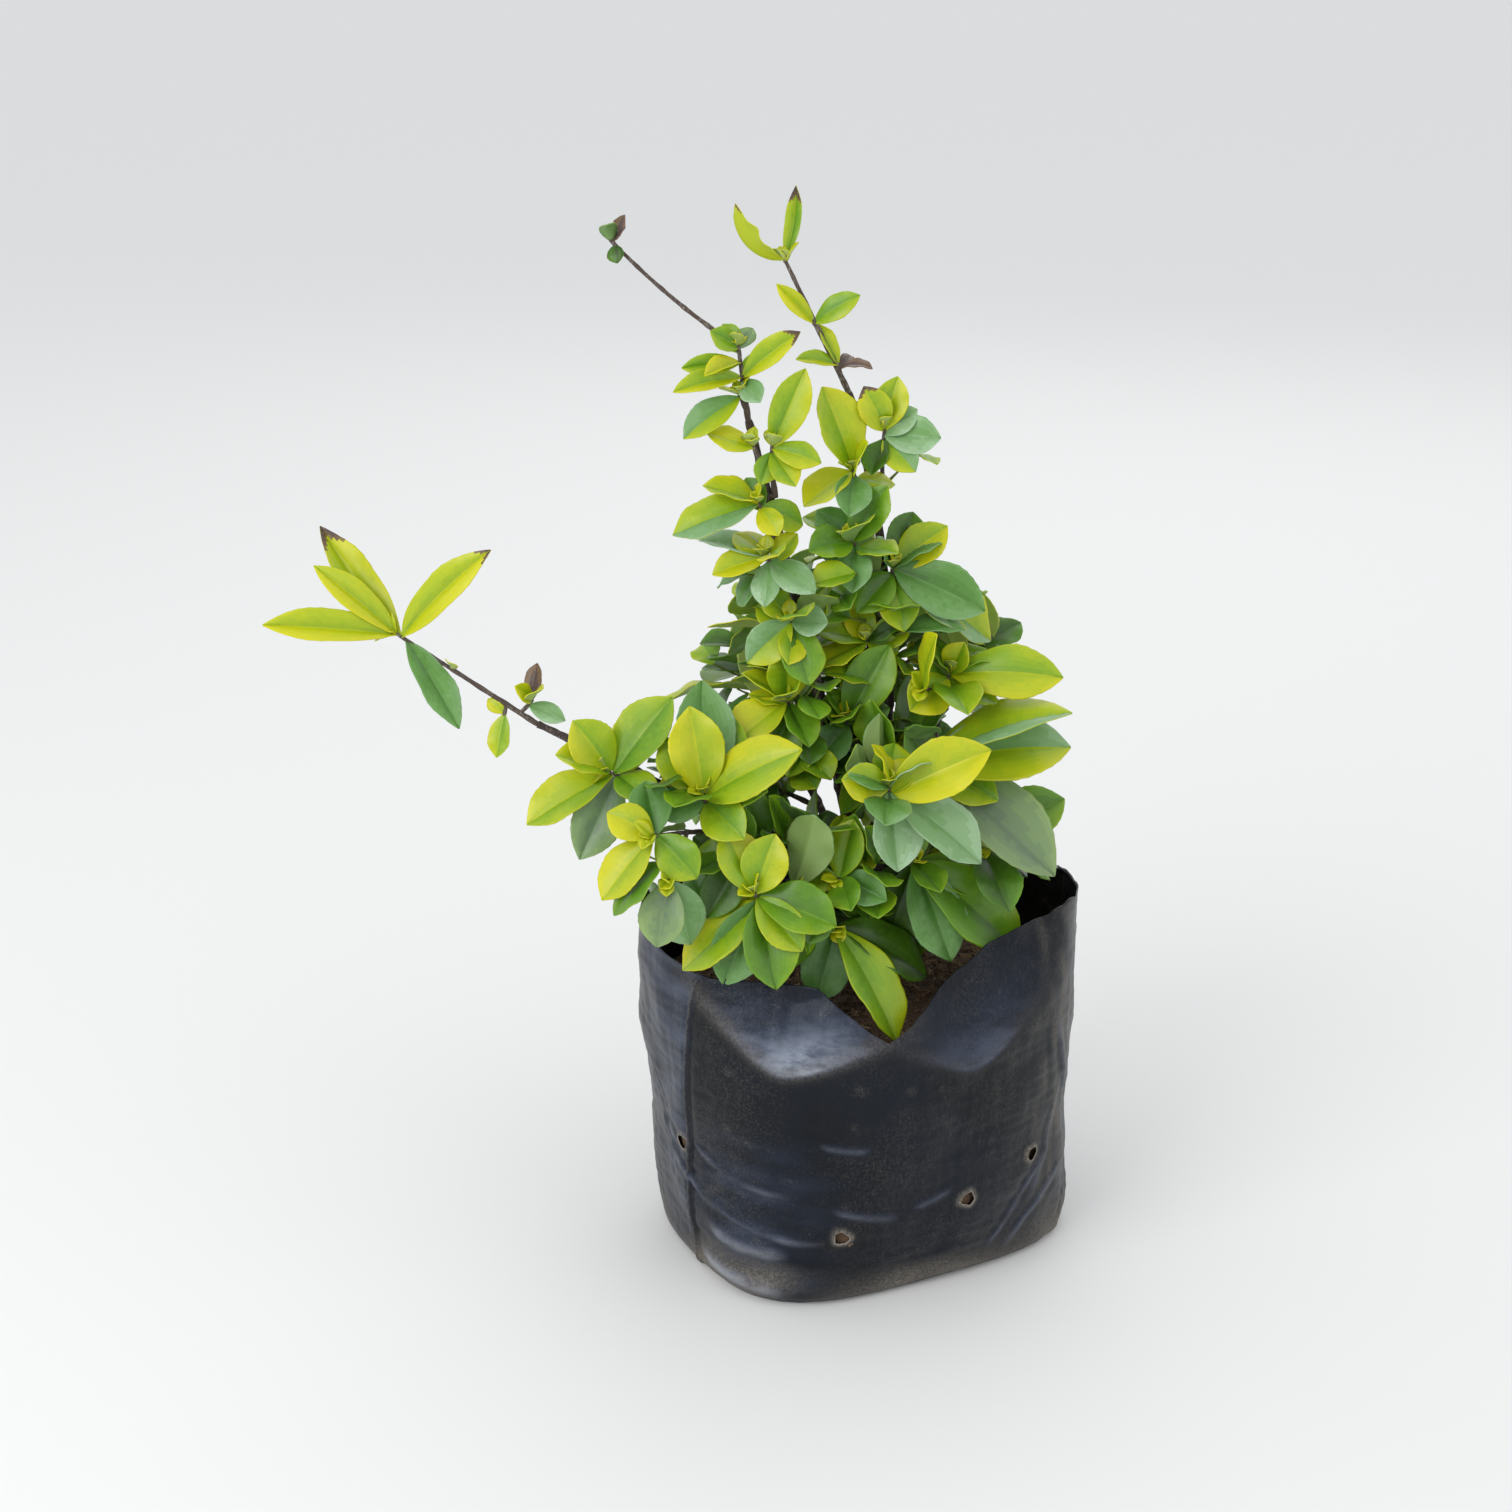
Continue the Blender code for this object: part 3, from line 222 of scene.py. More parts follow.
MASSES = {
    "left_tip": Mass("bough_left", 1.0, 172, 32, 0.0513, (
        Shoot(0.12, 18, 43, 0.0057, ((65, 69, 0.012, 20), (-128, 42, 0.010, 25), (-20, -18, 0.013, 30),
            (-61, 36, 0.014, 20)), tints="pgmy"),
        Shoot(0.22, -111, -67, 0.0036, ((159, 34, 0.007, 30), (-122, -71, 0.014, 20)), tints="gy"),
        Shoot(0.62, 0, 0, 0, ((-99, 42, 0.005, 10),), tints="y"),
        tip_fan(((-169, 7, 0.041, 12), (171, 39, 0.033, 10), (148, 46, 0.044, -30), (-15, 45, 0.043, 32),
            (-40, -48, 0.033, 20)), tints="GGTRb"),
    ), 0.64, "yl"),
    "left_knee": Mass("bough_left", 0.55, -160, 25, 0.0286, (
        tip_fan(((-170, 57, 0.021, 30), (-160, 24, 0.019, 25), (18, 50, 0.030, 25), (-163, -27, 0.031, 20),
            (-129, -51, 0.029, 25), (-48, -18, 0.017, 30), (52, 62, 0.022, 10)), tints="yylyslt"),
    ), 1.0, "lyn"),
    "left_under": Mass("bough_left", 0.4, -125, 13, 0.0440, (
        tip_fan(((164, 22, 0.016, 25), (-158, -48, 0.025, 18), (-26, -41, 0.018, 25), (106, 40, 0.019, 20)),
            tints="gglb"),
        Shoot(0.6, -105, -23, 0.0213, ((-133, -75, 0.021, 10), (44, -70, 0.025, 10)), tints="sm"),
    ), 1.0, "lnb"),
    "low_left": Mass("bough_left_low", 1.0, -126, 63, 0.0083, (
        tip_fan(((136, 78, 0.028, 12), (141, 43, 0.022, 20), (94, 60, 0.037, 15), (-18, 32, 0.037, 32),
            (-53, -17, 0.021, 35), (-166, -2, 0.017, 20)), 1, 0.020, tints="glbylb"),
        Shoot(0.4, 50, 0, 0.0068, ((67, 65, 0.026, 15), (-43, 22, 0.022, 25)), tints="ln"),
        Shoot(0.5, 150, 5, 0.0120, (), 1, 0.026),
    ), 1.0, "lnyb"),
    "front": Mass("bough_front", 1.0, -128, 51, 0.0122, (
        tip_fan(((18, 71, 0.020, 20), (148, 60, 0.022, 20), (-14, -17, 0.026, 30), (-36, -39, 0.022, 25),
            (-144, -63, 0.030, 15), (-66, -62, 0.028, 20), (-170, -41, 0.032, 20)), tints="yynlbny"),
        Shoot(0.4, 30, 20, 0.0120, (), 1, 0.026),
    ), 1.0, "nldb"),
    "front_skirt": Mass("bough_front", 0.4, -84, 3, 0.0217, (
        tip_fan(((-41, -52, 0.040, 22), (-135, -69, 0.024, 18), (15, -35, 0.037, 25), (144, 55, 0.024, 15)),
            tints="lbdn"),
    ), 1.0, "dnnb"),
    "right_big": Mass("bough_right", 0.55, -86, 45, 0.0133, (
        tip_fan(((-8, 23, 0.050, 35), (2, 7, 0.047, 40), (-24, -18, 0.026, 25), (-19, -37, 0.054, 35)), 2,
            0.024, tints="xxls"),
        Shoot(0.4, -150, 20, 0.0120, (), 1, 0.026),
    ), 1.0, "lnn"),
    "front_right": Mass("bough_front_right", 1.0, -86, 76, 0.0082, (
        tip_fan(((145, 61, 0.015, 60), (-164, 15, 0.016, 25), (-80, -61, 0.025, 25), (-16, -36, 0.036, 30),
            (-7, 28, 0.035, 25), (35, 26, 0.016, 50)), 2, 0.024, tints="gymmgy"),
        Shoot(0.5, 100, 20, 0.0120, (), 1, 0.026),
    ), 1.0, "nlbm"),
    "front_right_low": Mass("trunk", 0.36, -62, 47, 0.0414, (
        tip_fan(((-47, -60, 0.033, 20), (0, -42, 0.046, 30), (-151, -75, 0.032, 15), (20, -28, 0.027, 20)), 1,
            0.018, tints="bndn"),
        Shoot(0.45, -150, 0, 0.0120, (), 1, 0.026),
        Shoot(0.65, 20, 30, 0.0120, (), 1, 0.026),
    ), 1.0, "dnn"),
    "stem_right_low": Mass("stem_right", 0.13, -139, 60, 0.0308, (
        tip_fan(((16, 60, 0.028, 25), (-25, 12, 0.019, 20), (-137, -34, 0.018, 20), (-50, -38, 0.020, 20),
            (180, 48, 0.013, 20)), 2, 0.024, tints="ndbsn"),
        Shoot(0.4, 10, 20, 0.0120, (), 1, 0.026),
    ), 1.0, "dnnb"),
    "low_left_hanging": Mass("bough_left_low", 0.5, -123, 4, 0.0271, (
        tip_fan(((-142, -53, 0.021, 15), (-78, -60, 0.025, 15), (172, -6, 0.015, 20), (132, 73, 0.018, 15),
            (-24, -9, 0.015, 20)), 2, 0.026, tints="dylnl"),
        Shoot(0.45, -30, 10, 0.0120, (), 1, 0.026),
    ), 1.0, "dnnb"),
    "front_middle": Mass("bough_front_right", 0.5, -130, -7, 0.0230, (
        tip_fan(((21, 74, 0.020, 15), (-172, 37, 0.018, 25), (-36, -14, 0.017, 20), (47, 28, 0.016, 20),
            (123, 56, 0.026, 10)), 2, 0.024, tints="lnbly"),
        Shoot(0.5, 160, 10, 0.0120, (), 1, 0.026),
    ), 1.0, "dnlb"),
    "right": Mass("bough_right", 1.0, 0, 74, 0.0085, (
        tip_fan(((-25, 67, 0.012, 10), (-10, 0, 0.036, 35), (37, 19, 0.018, 25), (-132, -19, 0.020, 20),
            (-34, -29, 0.021, 25), (120, 44, 0.016, 15)), 2, 0.024, tints="yylyln"),
        Shoot(0.4, -130, 10, 0.0120, (), 1, 0.026),
    ), 1.0, "lyn"),
    "right_low": Mass("bough_right_low", 1.0, 41, -15, 0.0125, (
        tip_fan(((14, -24, 0.028, 25), (-51, -70, 0.023, 25), (16, 22, 0.031, 25), (127, 40, 0.017, 20)), 2,
            0.024, tints="snnl"),
        Shoot(0.4, -80, 10, 0.0120, (), 1, 0.026),
    ), 1.0, "nnd"),
    "stem_left_low": Mass("stem_left", 0.18, -140, 52, 0.0351, (
        tip_fan(((-76, 84, 0.020, 15), (-151, -31, 0.024, 25), (-63, -36, 0.017, 20), (171, 11, 0.013, 20),
            (-135, -61, 0.023, 20)), 2, 0.024, tints="ygnyn"),
    ), 1.0, "nlyb"),
    "stem_left_2": Mass("stem_left", 0.36, -131, 63, 0.0315, (
        tip_fan(((-156, -38, 0.019, 25), (-20, 3, 0.012, 25), (161, 23, 0.013, 20), (-64, -55, 0.020, 20),
            (-105, -41, 0.016, 15)), 2, 0.024, tints="xmlny"),
    ), 1.0, "nlb"),
    "stem_left_3": Mass("stem_left", 0.53, -142, 60, 0.0284, (
        tip_fan(((-167, -15, 0.018, 25), (159, 8, 0.023, 20), (-36, -23, 0.019, 25), (-99, -56, 0.015, 20),
            (29, 49, 0.013, 20)), 2, 0.024, tints="gmmmy"),
    ), 0.84, "lyb"),
    "stem_left_4": Mass("stem_left", 0.68, -141, 61, 0.0232, (
        tip_fan(((-176, -20, 0.028, 25), (173, 16, 0.018, 25), (-56, -35, 0.012, 20), (25, -26, 0.016, 25),
            (129, 48, 0.012, 20)), tints="xygln"),
    ), 0.84, "lyn"),
    "stem_left_5": Mass("stem_left", 0.83, -78, 76, 0.0169, (
        tip_fan(((11, 67, 0.026, 15), (-15, -14, 0.016, 25), (-121, -52, 0.011, 20), (-48, -39, 0.014, 20)),
            tints="yyly"),
        Shoot(0.3, -141, 57, 0.0142, ((-172, 18, 0.015, 20),), tints="g"),
    ), 0.8, "yl"),
    "left_top": Mass("stem_left", 1.0, 162, 82, 0.0225, (
        Shoot(0.1, -153, 66, 0.0060, ((-155, -31, 0.022, 20),), tints="x"),
        Shoot(0.55, -97, 43, 0.0021, ((-164, -9, 0.022, 25), (-13, 39, 0.023, 20), (-56, -28, 0.011, 20)),
            tints="YTm"),
        Shoot(0.8, 0, 0, 0, ((-173, -4, 0.018, 20), (-136, -8, 0.015, 20), (32, 8, 0.011, 20)), tints="LGl"),
        tip_fan(((-156, 32, 0.011, 15), (44, 42, 0.008, 15), (129, 44, 0.011, 10)), tints="lsl"),
        Shoot(1.0, 174, 39, 0.0488, ((0, 64, 0.009, -40), (-110, 53, 0.007, 60), (-78, -58, 0.006, 40)),
            tints="psd"),
    ), 0.72, "ly"),
    "stem_right_2": Mass("stem_right", 0.3, -150, 72, 0.0270, (
        tip_fan(((-155, -20, 0.020, 20), (-26, -6, 0.014, 25), (129, 55, 0.014, 20), (-100, -52, 0.020, 20),
            (25, 20, 0.020, 20)), 2, 0.026, tints="ylybl"),
        Shoot(0.5, 20, 20, 0.0120, (), 1, 0.026),
    ), 1.0, "nldb"),
    "stem_right_3": Mass("stem_right", 0.42, -79, 84, 0.0313, (
        tip_fan(((-10, -23, 0.032, 35), (19, 34, 0.022, 20), (-141, -35, 0.018, 25), (57, 55, 0.021, 20),
            (7, -35, 0.039, 30), (-75, -49, 0.019, 20)), 2, 0.026, tints="byndxl"),
        Shoot(0.4, 160, 10, 0.0120, (), 1, 0.026),
    ), 1.0, "nlb"),
    "stem_right_4": Mass("stem_right", 0.52, -140, 60, 0.0308, (
        tip_fan(((-11, 59, 0.021, 15), (-151, -4, 0.016, 25), (-94, -46, 0.017, 20), (162, 38, 0.016, 20),
            (-38, 3, 0.016, 20)), 2, 0.026, tints="nnbbl"),
        Shoot(0.4, 10, 20, 0.0120, (), 1, 0.026),
    ), 1.0, "nlb"),
    "stem_right_5": Mass("stem_right", 0.64, -141, 67, 0.0333, (
        tip_fan(((180, 69, 0.028, 20), (-159, -31, 0.019, 25), (-65, 53, 0.015, 20), (-100, -40, 0.016, 20),
            (29, -17, 0.017, 25)), tints="ygyby"),
    ), 1.0, "lyn"),
    "right_cluster": Mass("stem_right", 0.74, -55, 83, 0.0278, (
        tip_fan(((-163, 64, 0.016, 40), (26, 75, 0.017, 15), (0, 38, 0.013, 25), (-13, -1, 0.018, 30),
            (-47, -31, 0.016, 20), (-116, -47, 0.013, 20)), tints="tymmxd"),
    ), 0.88, "lyn"),
    "right_top": Mass("stem_right", 1.0, -180, 64, 0.0438, (
        Shoot(0.12, -180, 76, 0.0042, ((-163, 10, 0.014, 25), (163, 61, 0.014, 10), (-16, 3, 0.011, 60),
            (64, 18, 0.009, 30)), tints="YYpP"),
        Shoot(0.5, -180, 52, 0.0023, ((-170, 46, 0.017, 12), (-12, 32, 0.017, 35)), tints="Gl"),
        Shoot(1.0, 180, 59, 0.0017, ((-172, 50, 0.026, -110), (48, 76, 0.024, -80)), tints="CE"),
    ), 0.66, "yl"),
    "back_left_high": Mass("stem_left", 0.42, 110, 42, 0.022, (tip_fan((), 3, 0.032),), 1.0, "ylg"),
    "back_high": Mass("stem_right", 0.36, 100, 42, 0.024, (tip_fan((), 3, 0.034),), 1.0, "ylnb"),
    "back_left": Mass("bough_back_left", 1.0, 125, 40, 0.020, (
        tip_fan((), 3, 0.036),
        Shoot(0.5, 60, 50, 0.016, (), 2, 0.034),
    ), 1.0, "ylnb"),
    "back_right": Mass("bough_back_right", 1.0, 50, 40, 0.020, (
        tip_fan((), 3, 0.038),
        Shoot(0.5, 120, 50, 0.016, (), 2, 0.034),
    ), 1.0, "lynm"),
    "back_left_low": Mass("bough_back_left", 0.50, 160, 12, 0.030, (
        tip_fan((), 3, 0.036),
        Shoot(0.6, 110, -5, 0.020, (), 2, 0.034),
    ), 1.0, "nldb"),
    "back_low": Mass("bough_back_right", 0.42, 80, 8, 0.030, (
        tip_fan((), 3, 0.038),
        Shoot(0.6, 20, -5, 0.020, (), 2, 0.034),
    ), 1.0, "nnlb"),
}


@lru_cache(maxsize=None)
def limb_curve(name):
    """The three points that a limb bends through; it starts just clear of its parent."""
    limb = LIMBS[name]
    start = TRUNK_FOOT.copy() if not limb.parent else limb_point(limb.parent, limb.share)
    tip = Vector(limb.tip)
    middle = (start + tip) / 2 + 2 * Vector(limb.bow)
    if limb.parent:
        start = clear_start(limb.parent, limb.share, (start, middle, tip), limb.foot_radius)
    return start, middle, tip


def bezier(a, b, c, t):
    return (1 - t) ** 2 * a + 2 * t * (1 - t) * b + t * t * c


def bezier_way(a, b, c, t):
    return (2 * (1 - t) * (b - a) + 2 * t * (c - b)).normalized()


def limb_point(name, t):
    return bezier(*limb_curve(name), t)


def limb_way(name, t):
    return bezier_way(*limb_curve(name), t)


def limb_radius(name, t):
    limb = LIMBS[name]
    return limb.foot_radius + (limb.tip_radius - limb.foot_radius) * t


def heading_way(heading, rise):
    h, r = math.radians(heading), math.radians(rise)
    return Vector((math.cos(h) * math.cos(r), math.sin(h) * math.cos(r), math.sin(r)))


class Leaf(NamedTuple):
    """One leaf: its foot, the way its midrib sets out, its upper side, its bends and its tint."""
    foot: Vector
    way: Vector
    face: Vector
    length: float
    bend: float
    fold: float
    twist: float
    width: float
    tint: str = "n"


def square_to(v, w):
    """v made square to w."""
    out = v - w * v.dot(w)
    if out.length < 1e-6:
        out = w.orthogonal()
    return out.normalized()


def bow_curve(start, way, length, bow):
    tip = start + way * length
    return start, (start + tip) / 2 - UP * 2 * bow, tip


def leaf_width(length, rng):
    """Short leaves are rounder."""
    return (0.0055 + 0.41 * length) * rng.uniform(0.92, 1.10)


CURLED_BEND = 45           # degrees, over which a leaf counts as curled


def marked_leaf(foot, leaf, slender, rng):
    """A leaf whose chord has this heading and rise; its upper side turns to the light, or up if it curls."""
    heading, rise, length, bend = leaf
    chord = heading_way(heading, rise)
    face = square_to(UP if abs(bend) > CURLED_BEND else LIGHT_SIDE, chord)
    face = Quaternion(chord, math.radians(rng.uniform(-26, 26))) @ face
    side = chord.cross(face)
    start = Quaternion(side, math.radians(bend) / 2)
    return Leaf(foot, start @ chord, start @ face, length, bend, rng.uniform(14, 30), rng.uniform(-12, 12),
                leaf_width(length, rng) * slender)


def ruled_leaf(foot, stem_way, turn, length, spread, rng):
    """A leaf that stands off its twig to one side."""
    level = UP if abs(stem_way.z) < 0.95 else Vector((0, -1, 0))
    side = Quaternion(stem_way, turn) @ square_to(level, stem_way)
    a = math.radians(spread + rng.uniform(-10, 10))
    way = (stem_way * math.cos(a) + side * math.sin(a) + UP * rng.uniform(-0.14, 0.10)).normalized()
    face = square_to(stem_way * 0.8 + UP * 0.9, way)
    face = Quaternion(way, math.radians(rng.uniform(-18, 18))) @ face
    length *= rng.uniform(0.85, 1.10)
    return Leaf(foot, way, face, length, rng.uniform(14, 44), rng.uniform(14, 30), rng.uniform(-12, 12),
                leaf_width(length, rng))


def clear_start(limb, share, curve, radius):
    """Where a piece of this radius begins, so that its flat end is just clear of its limb."""
    start, middle, tip = curve
    axis = limb_way(limb, share)
    for _ in range(5):
        way = bezier_way(start, middle, tip, 0.06)
        out = axis if share > 0.995 else square_to(way, axis)
        reach = GAP if share > 0.995 else GAP + limb_radius(limb, share)
        lean = math.sqrt(max(0.0, 1 - way.dot(out) ** 2))
        start = limb_point(limb, share) + out * (reach + radius * lean)
    return start


def grow(name):
    """The twigs and leaves of one mass, drawn in the same order as in the part."""
    rng = random.Random(name)
    mass = MASSES[name]
    stem = bow_curve(limb_point(mass.limb, mass.share), heading_way(mass.heading, mass.rise), mass.length, 0)
    start, middle, tip = stem
    stem = (clear_start(mass.limb, mass.share, stem, STEM_RADIUS), middle, tip)
    twigs, leaves = [stem], []
    for shoot in mass.shoots:
        base = bezier(*stem, shoot.share)
        twig = stem
        if shoot.length > 0:
            twig = bow_curve(base, heading_way(shoot.heading, shoot.rise), shoot.length, shoot.length * 0.04)
            twigs.append(twig)
        tip = twig[2] if shoot.length > 0 else base
        way = bezier_way(*twig, 1.0)
        for k, leaf in enumerate(shoot.leaves):
            grown = marked_leaf(tip - way * (0.0007 + 0.0014 * (k // 2)), leaf, mass.slender, rng)
            leaves.append(grown._replace(tint=shoot.tints[k]))
        for i in range(shoot.pairs):
            t = (i + 1) / shoot.pairs
            size = shoot.leaf * (1.0 if i == 0 else 0.92 if t < 1 else 0.66)
            spread = 62 if t < 1 else 40
            turn = math.radians(90 * i + rng.uniform(-20, 20))
            foot = bezier(*twig, t) - way * 0.0008
            for k in (0, 1):
                grown = ruled_leaf(foot, bezier_way(*twig, t), turn + math.pi * k, size, spread, rng)
                tint = mass.tints[(3 * i + 2 * k + len(leaves)) % len(mass.tints)]
                leaves.append(grown._replace(tint=tint))
    return twigs, leaves


def moved_leaf(leaf, attempt, rng):
    """The same leaf turned a little about its foot, more with each try."""
    if attempt == 0:
        return leaf
    amount = math.radians(5 + 4 * attempt)
    axis = Vector((rng.uniform(-1, 1), rng.uniform(-1, 1), rng.uniform(-1, 1))).normalized()
    turn = Quaternion(axis, amount * rng.uniform(0.6, 1.0))
    shrink = 1 - 0.04 * attempt
    return leaf._replace(way=turn @ leaf.way, face=turn @ leaf.face, length=leaf.length * shrink,
                         width=leaf.width * shrink)


FRAME_STEPS = 12           # in which a midrib bends and twists, from foot to tip


def leaf_frames(leaf, shares):
    """Point, direction, upper side and side direction at each of the rising shares of a leaf."""
    frames = []
    way, face, at = leaf.way.copy(), leaf.face.copy(), leaf.foot.copy()
    done = 0.0
    for share in shares:
        while done < share * FRAME_STEPS - 1e-9:
            amount = min(math.floor(done + 1e-9) + 1, share * FRAME_STEPS) - done
            at = at + way * (leaf.length / FRAME_STEPS * amount)
            side = way.cross(face).normalized()
            bend = Quaternion(side, -math.radians(leaf.bend) / FRAME_STEPS * amount)
            turn = Quaternion(way, math.radians(leaf.twist) / FRAME_STEPS * amount)
            way = (bend @ way).normalized()
            face = (turn @ (bend @ face)).normalized()
            done += amount
        frames.append((at.copy(), way.copy(), face.copy(), way.cross(face).normalized()))
    return frames


def node_tree(name):
    """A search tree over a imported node's faces."""
    mesh = frame["nodes"][name].data
    points = [vert.co.copy() for vert in mesh.vertices]
    return BVHTree.FromPolygons(points, [tuple(face.vertices) for face in mesh.polygons])


def placed_leaves(name, leaves, tree):
    """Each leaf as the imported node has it: the first try whose midrib lies in the node's mesh."""
    rng = random.Random(name + "_try")
    placed = []
    for leaf in leaves:
        ring = 0.42 if leaf.length > 0.020 else 0.55
        for attempt in range(LEAF_TRIES):
            tried = moved_leaf(leaf, attempt, rng)
            half = max(0.0007, 0.016 * tried.length) / 2
            middle, tip = (f[0] for f in leaf_frames(tried, (ring, 1.0)))
            if tree.find_nearest(middle)[3] < half + 0.00025 and tree.find_nearest(tip)[3] < 0.0004:
                placed.append(tried)
                break
    return placed


# Colours of the leaves: each ramp is dealt out in plain steps, one material each
LEAF_RAMPS = {
    "gold": (24, ((208, 204, 12), (192, 194, 14), (166, 182, 18), (134, 166, 20), (102, 146, 24),
                  (78, 122, 22), (57, 91, 18), (38, 66, 12))),
    # Bluish greens, partly the leaves' own and partly painted sky sheen and shade
    "blue": (12, ((160, 190, 152), (122, 160, 106), (96, 142, 68), (74, 119, 46), (52, 88, 32))),
    "grey": (6, ((140, 164, 102), (118, 142, 98), (98, 117, 98))),
    "tip": (3, ((132, 112, 44), (108, 78, 56), (84, 60, 60))),
    "back": (3, ((166, 184, 100), (134, 160, 92), (104, 134, 76))),
}


class Tint(NamedTuple):
    """A leaf's colours: ramp, edge and middle of its bright half and of the other, its back and its tip. The
    half turned to the light gets painted light and the other painted shade, partly the leaf's own colour.
    """
    ramp: str
    edge: float
    middle: float
    other_ramp: str
    other_edge: float
    other_middle: float
    back: float
    tip_share: float = 2.0
    back_ramp: str = "back"


TINTS = {
    "g": Tint("gold", 0.00, 0.28, "gold", 0.14, 0.40, 0.0),
    "y": Tint("gold", 0.08, 0.40, "gold", 0.26, 0.56, 0.0),
    "l": Tint("gold", 0.26, 0.56, "gold", 0.38, 0.68, 0.4),
    "n": Tint("gold", 0.44, 0.74, "gold", 0.56, 0.82, 0.6),
    # Darkest green for leaves deep in the crown: partly their own green, partly painted shade
    "d": Tint("gold", 0.66, 0.92, "gold", 0.76, 1.00, 1.0),
    # Bluish leaves: partly their own colour, partly painted sky sheen
    "b": Tint("blue", 0.25, 0.72, "blue", 0.42, 0.90, 0.6),
    "m": Tint("blue", 0.00, 0.34, "blue", 0.12, 0.46, 0.4),
    # Gold bright half and pale bluish other half: painted light and sky sheen
    "x": Tint("gold", 0.20, 0.46, "blue", 0.15, 0.50, 0.4),
    "s": Tint("grey", 0.00, 0.90, "grey", 0.10, 1.00, 0.8),
    "p": Tint("tip", 0.50, 1.00, "tip", 0.60, 1.00, 1.0),
    "t": Tint("gold", 0.08, 0.36, "gold", 0.22, 0.50, 0.2, 0.86),
    "r": Tint("gold", 0.00, 0.28, "gold", 0.14, 0.40, 0.0, 0.93),
    "w": Tint("gold", 0.10, 0.30, "gold", 0.20, 0.36, 0.0),
    "c": Tint("gold", 0.14, 0.40, "gold", 0.34, 0.60, 0.24, 0.95, "gold"),
    "e": Tint("gold", 0.22, 0.48, "gold", 0.40, 0.68, 0.40, 0.80, "gold"),
}

# More fold in degrees, and the share of its width that is left, for the two leaves at the very top
FOLDED = {"C": (52, 1.30), "E": (24, 0.62)}

# Where the lines of a leaf's grid run, as shares of its half width
BLADE_LINES = (-1.0, -0.93, -0.78, -0.60, -0.42, -0.23, -0.045, 0.045, 0.23, 0.42, 0.60, 0.78, 0.93, 1.0)
SMALL_BLADE_LINES = (-1.0, -0.40, 0.0, 0.40, 1.0)
CURVE_STEPS = 48           # in which a blade's midrib is measured
LEAF_ROUGHNESS = 0.37
LONG_LEAF, SMALL_LEAF = 0.019, 0.009    # blades over these lengths have more rows
OUTLINE_FOOT, OUTLINE_TIP = 1.00, 1.08
OUTLINE_PEAK = OUTLINE_FOOT / (OUTLINE_FOOT + OUTLINE_TIP)
OUTLINE_TOP = OUTLINE_PEAK ** OUTLINE_FOOT * (1 - OUTLINE_PEAK) ** OUTLINE_TIP


def colour_slots():
    """The first slot of each ramp, and its number of steps."""
    slots, first = {}, 0
    for ramp, (steps, _) in LEAF_RAMPS.items():
        slots[ramp] = (first, steps)
        first += steps
    return slots


COLOUR_SLOTS = colour_slots()


def colour_slot(ramp, share):
    first, steps = COLOUR_SLOTS[ramp]
    return first + round(min(1.0, max(0.0, share)) * (steps - 1))


class Soup:
    """Vertices, faces and material indices that are gathered for one mesh."""

    def __init__(self):
        self.verts, self.faces, self.slots = [], [], []

    def mesh(self, name, materials):
        mesh = bpy.data.meshes.new(name)
        mesh.from_pydata(self.verts, [], self.faces)
        for material in materials:
            mesh.materials.append(material)
        mesh.polygons.foreach_set("material_index", self.slots)
        mesh.polygons.foreach_set("use_smooth", [True] * len(self.faces))
        mesh.update()
        return mesh


def half_width(share):
    """Outline of a blade: narrow at the stalk, widest just past the middle, pointed."""
    return share ** OUTLINE_FOOT * (1 - share) ** OUTLINE_TIP / OUTLINE_TOP


